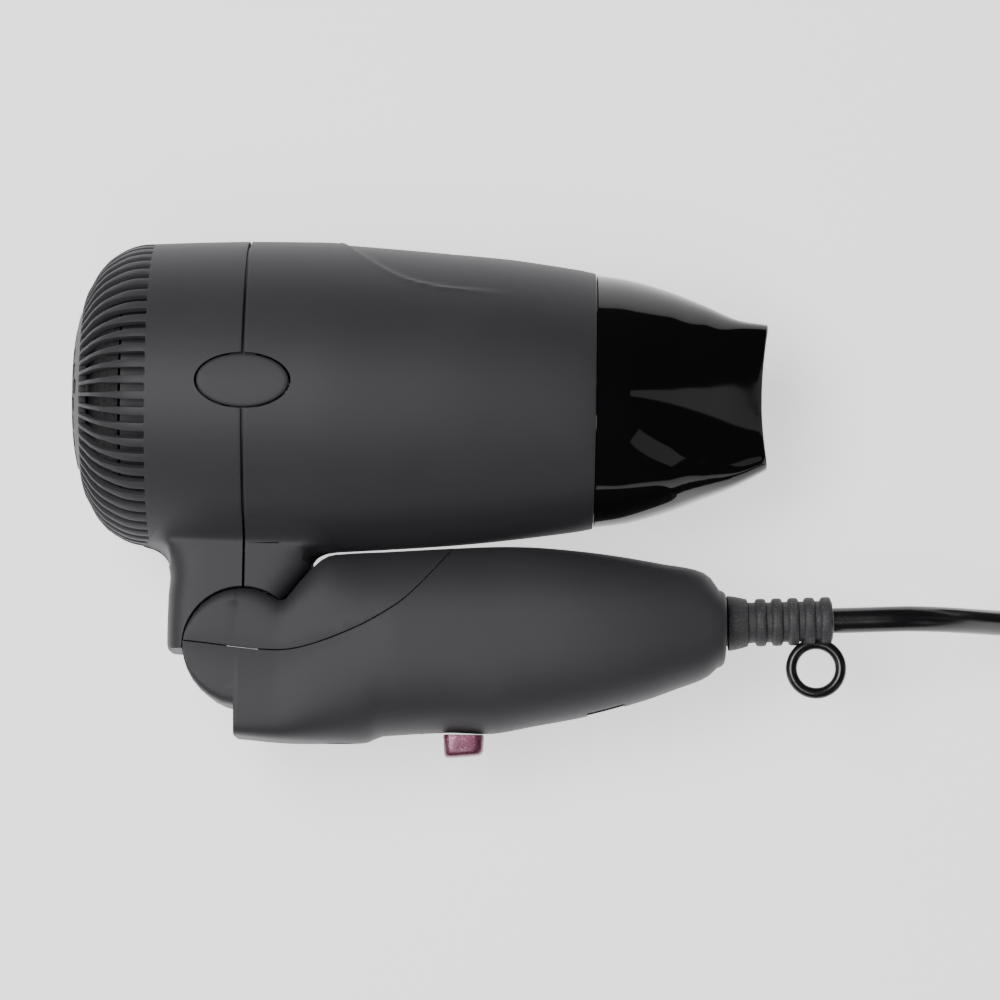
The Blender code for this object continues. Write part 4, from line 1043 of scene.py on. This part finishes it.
class DRYER_OT_barrel(bpy.types.Operator):
    """Finned rear, creased front, neck halves, honeycomb and side caps"""

    bl_idname = "dryer.barrel"
    bl_label = "Barrel shells"

    def execute(self, context):
        edge = context.scene.dryer_looks.edge_round / MM
        shell = look("charcoal_shell")
        hole = oval_prism(0.8)
        rear = modified(rear_shell_mesh(), solidify(WALL), bevel(0.18))
        rear = cut_by(rear, hole.copy())
        link_piece("rear_shell", rear, "barrel", shell, ["rear_housing"])
        front = modified(front_shell_mesh(), solidify(WALL), bevel(edge))
        front = cut_by(front, hole)
        link_piece("front_shell", front, "barrel", shell, ["front_housing"])
        for side in ("rear", "front"):
            link_piece(f"neck_{side}", neck_mesh(side), "barrel", shell)
        lip = turned("housing_lip", [(-3.0, 33.4), (-3.0, 34.6), (3.0, 34.6), (3.0, 33.4)], 160)
        lip = cut_by(lip, oval_prism(0.5))
        link_piece("housing_lip", lip, "barrel", look("dark_plastic"))
        link_piece("rear_honeycomb", honeycomb_mesh(), "barrel", shell, ["intake_screen"])
        for side, sign in (("left", 1), ("right", -1)):
            link_piece(f"oval_cap_{side}", side_cap_mesh(sign), "barrel", shell,
                       [f"side_cap_{side}"])
        return {"FINISHED"}


class DRYER_OT_nozzle(bpy.types.Operator):
    """Polished nozzle that turns on the barrel"""

    bl_idname = "dryer.nozzle"
    bl_label = "Nozzle"

    def execute(self, context):
        link_piece("polished_nozzle", nozzle_mesh(), "nozzle", look("nozzle_black"),
                   ["nozzle"])
        return {"FINISHED"}


class DRYER_OT_handle(bpy.types.Operator):
    """The handle's two mouldings"""

    bl_idname = "dryer.handle"
    bl_label = "Handle"

    def execute(self, context):
        edge = context.scene.dryer_looks.edge_round / MM
        shell, cover = handle_meshes()
        halves = (("handle_body", shell, "handle_shell"), ("handle_top", cover, "handle_cover"))
        for name, mesh, node_name in halves:
            link_piece(name, modified(mesh, bevel(edge, 2, 40)), "handle", look("charcoal_shell"),
                       [node_name])
        return {"FINISHED"}


class DRYER_OT_controls(bpy.types.Operator):
    """Slide knob, strain relief and hanging loop"""

    bl_idname = "dryer.controls"
    bl_label = "Controls and strain relief"

    def execute(self, context):
        link_piece("slide_knob", knob_mesh(), "switch", look("violet_knob"), ["switch_knob"])
        link_piece("ribbed_boot", boot_mesh(), "handle", look("boot_rubber"), ["cord_boot"])
        link_piece("hanging_loop", loop_mesh(), "handle", look("cord_pvc"))
        return {"FINISHED"}


class DRYER_OT_frame_finish(bpy.types.Operator):
    """Give every frame node its own finish, and soft edges to a few small pieces"""

    bl_idname = "dryer.frame_finish"
    bl_label = "Inner pieces"

    def execute(self, context):
        slots = {part["node"]: part["material_slot"] for part in frame["record"]["subparts"]}
        for name, thing in frame["nodes"].items():
            thing.data.materials.clear()
            # the dust filter takes the gauze whose holes carry painted shade
            thing.data.materials.append(look("gauze_painted_hole_shade" if name == "dust_filter" else slots[name]))
            if name in ("selector_dial", "plug_pin_a", "plug_pin_b", "motor", "thermostat", "outlet_grille"):
                settle(thing.modifiers.new("soft_edges", "BEVEL"),
                       {"width": 0.25 * MM, "segments": 2, "limit_method": "ANGLE"})
        return {"FINISHED"}


class DRYER_PT_panel(bpy.types.Panel):
    """Lists the pieces and their settings"""

    bl_label = "Travel hair dryer"
    bl_idname = "DRYER_PT_panel"
    bl_space_type = "VIEW_3D"
    bl_region_type = "UI"
    bl_category = "Dryer"

    def draw(self, context):
        for settings, names in ((context.scene.dryer_looks, DryerLooks.__annotations__),
                                (context.scene.studio_looks, StudioLooks.__annotations__)):
            for name in names:
                self.layout.prop(settings, name)
        for operator in OPERATORS:
            self.layout.operator(operator.bl_idname)


OPERATORS = (DRYER_OT_stage, DRYER_OT_cord, DRYER_OT_frame_finish, DRYER_OT_barrel, DRYER_OT_nozzle,
             DRYER_OT_handle, DRYER_OT_controls)
CLASSES = (DryerLooks, StudioLooks, *OPERATORS, DRYER_PT_panel)


def register():
    for item in CLASSES:
        bpy.utils.register_class(item)
    bpy.types.Scene.dryer_looks = bpy.props.PointerProperty(type=DryerLooks)
    bpy.types.Scene.studio_looks = bpy.props.PointerProperty(type=StudioLooks)


def unregister():
    del bpy.types.Scene.studio_looks
    del bpy.types.Scene.dryer_looks
    for item in reversed(CLASSES):
        bpy.utils.unregister_class(item)


def main():
    register()
    for operator in OPERATORS:
        group, name = operator.bl_idname.split(".")
        getattr(getattr(bpy.ops, group), name)()


if __name__ == "__main__":
    main()
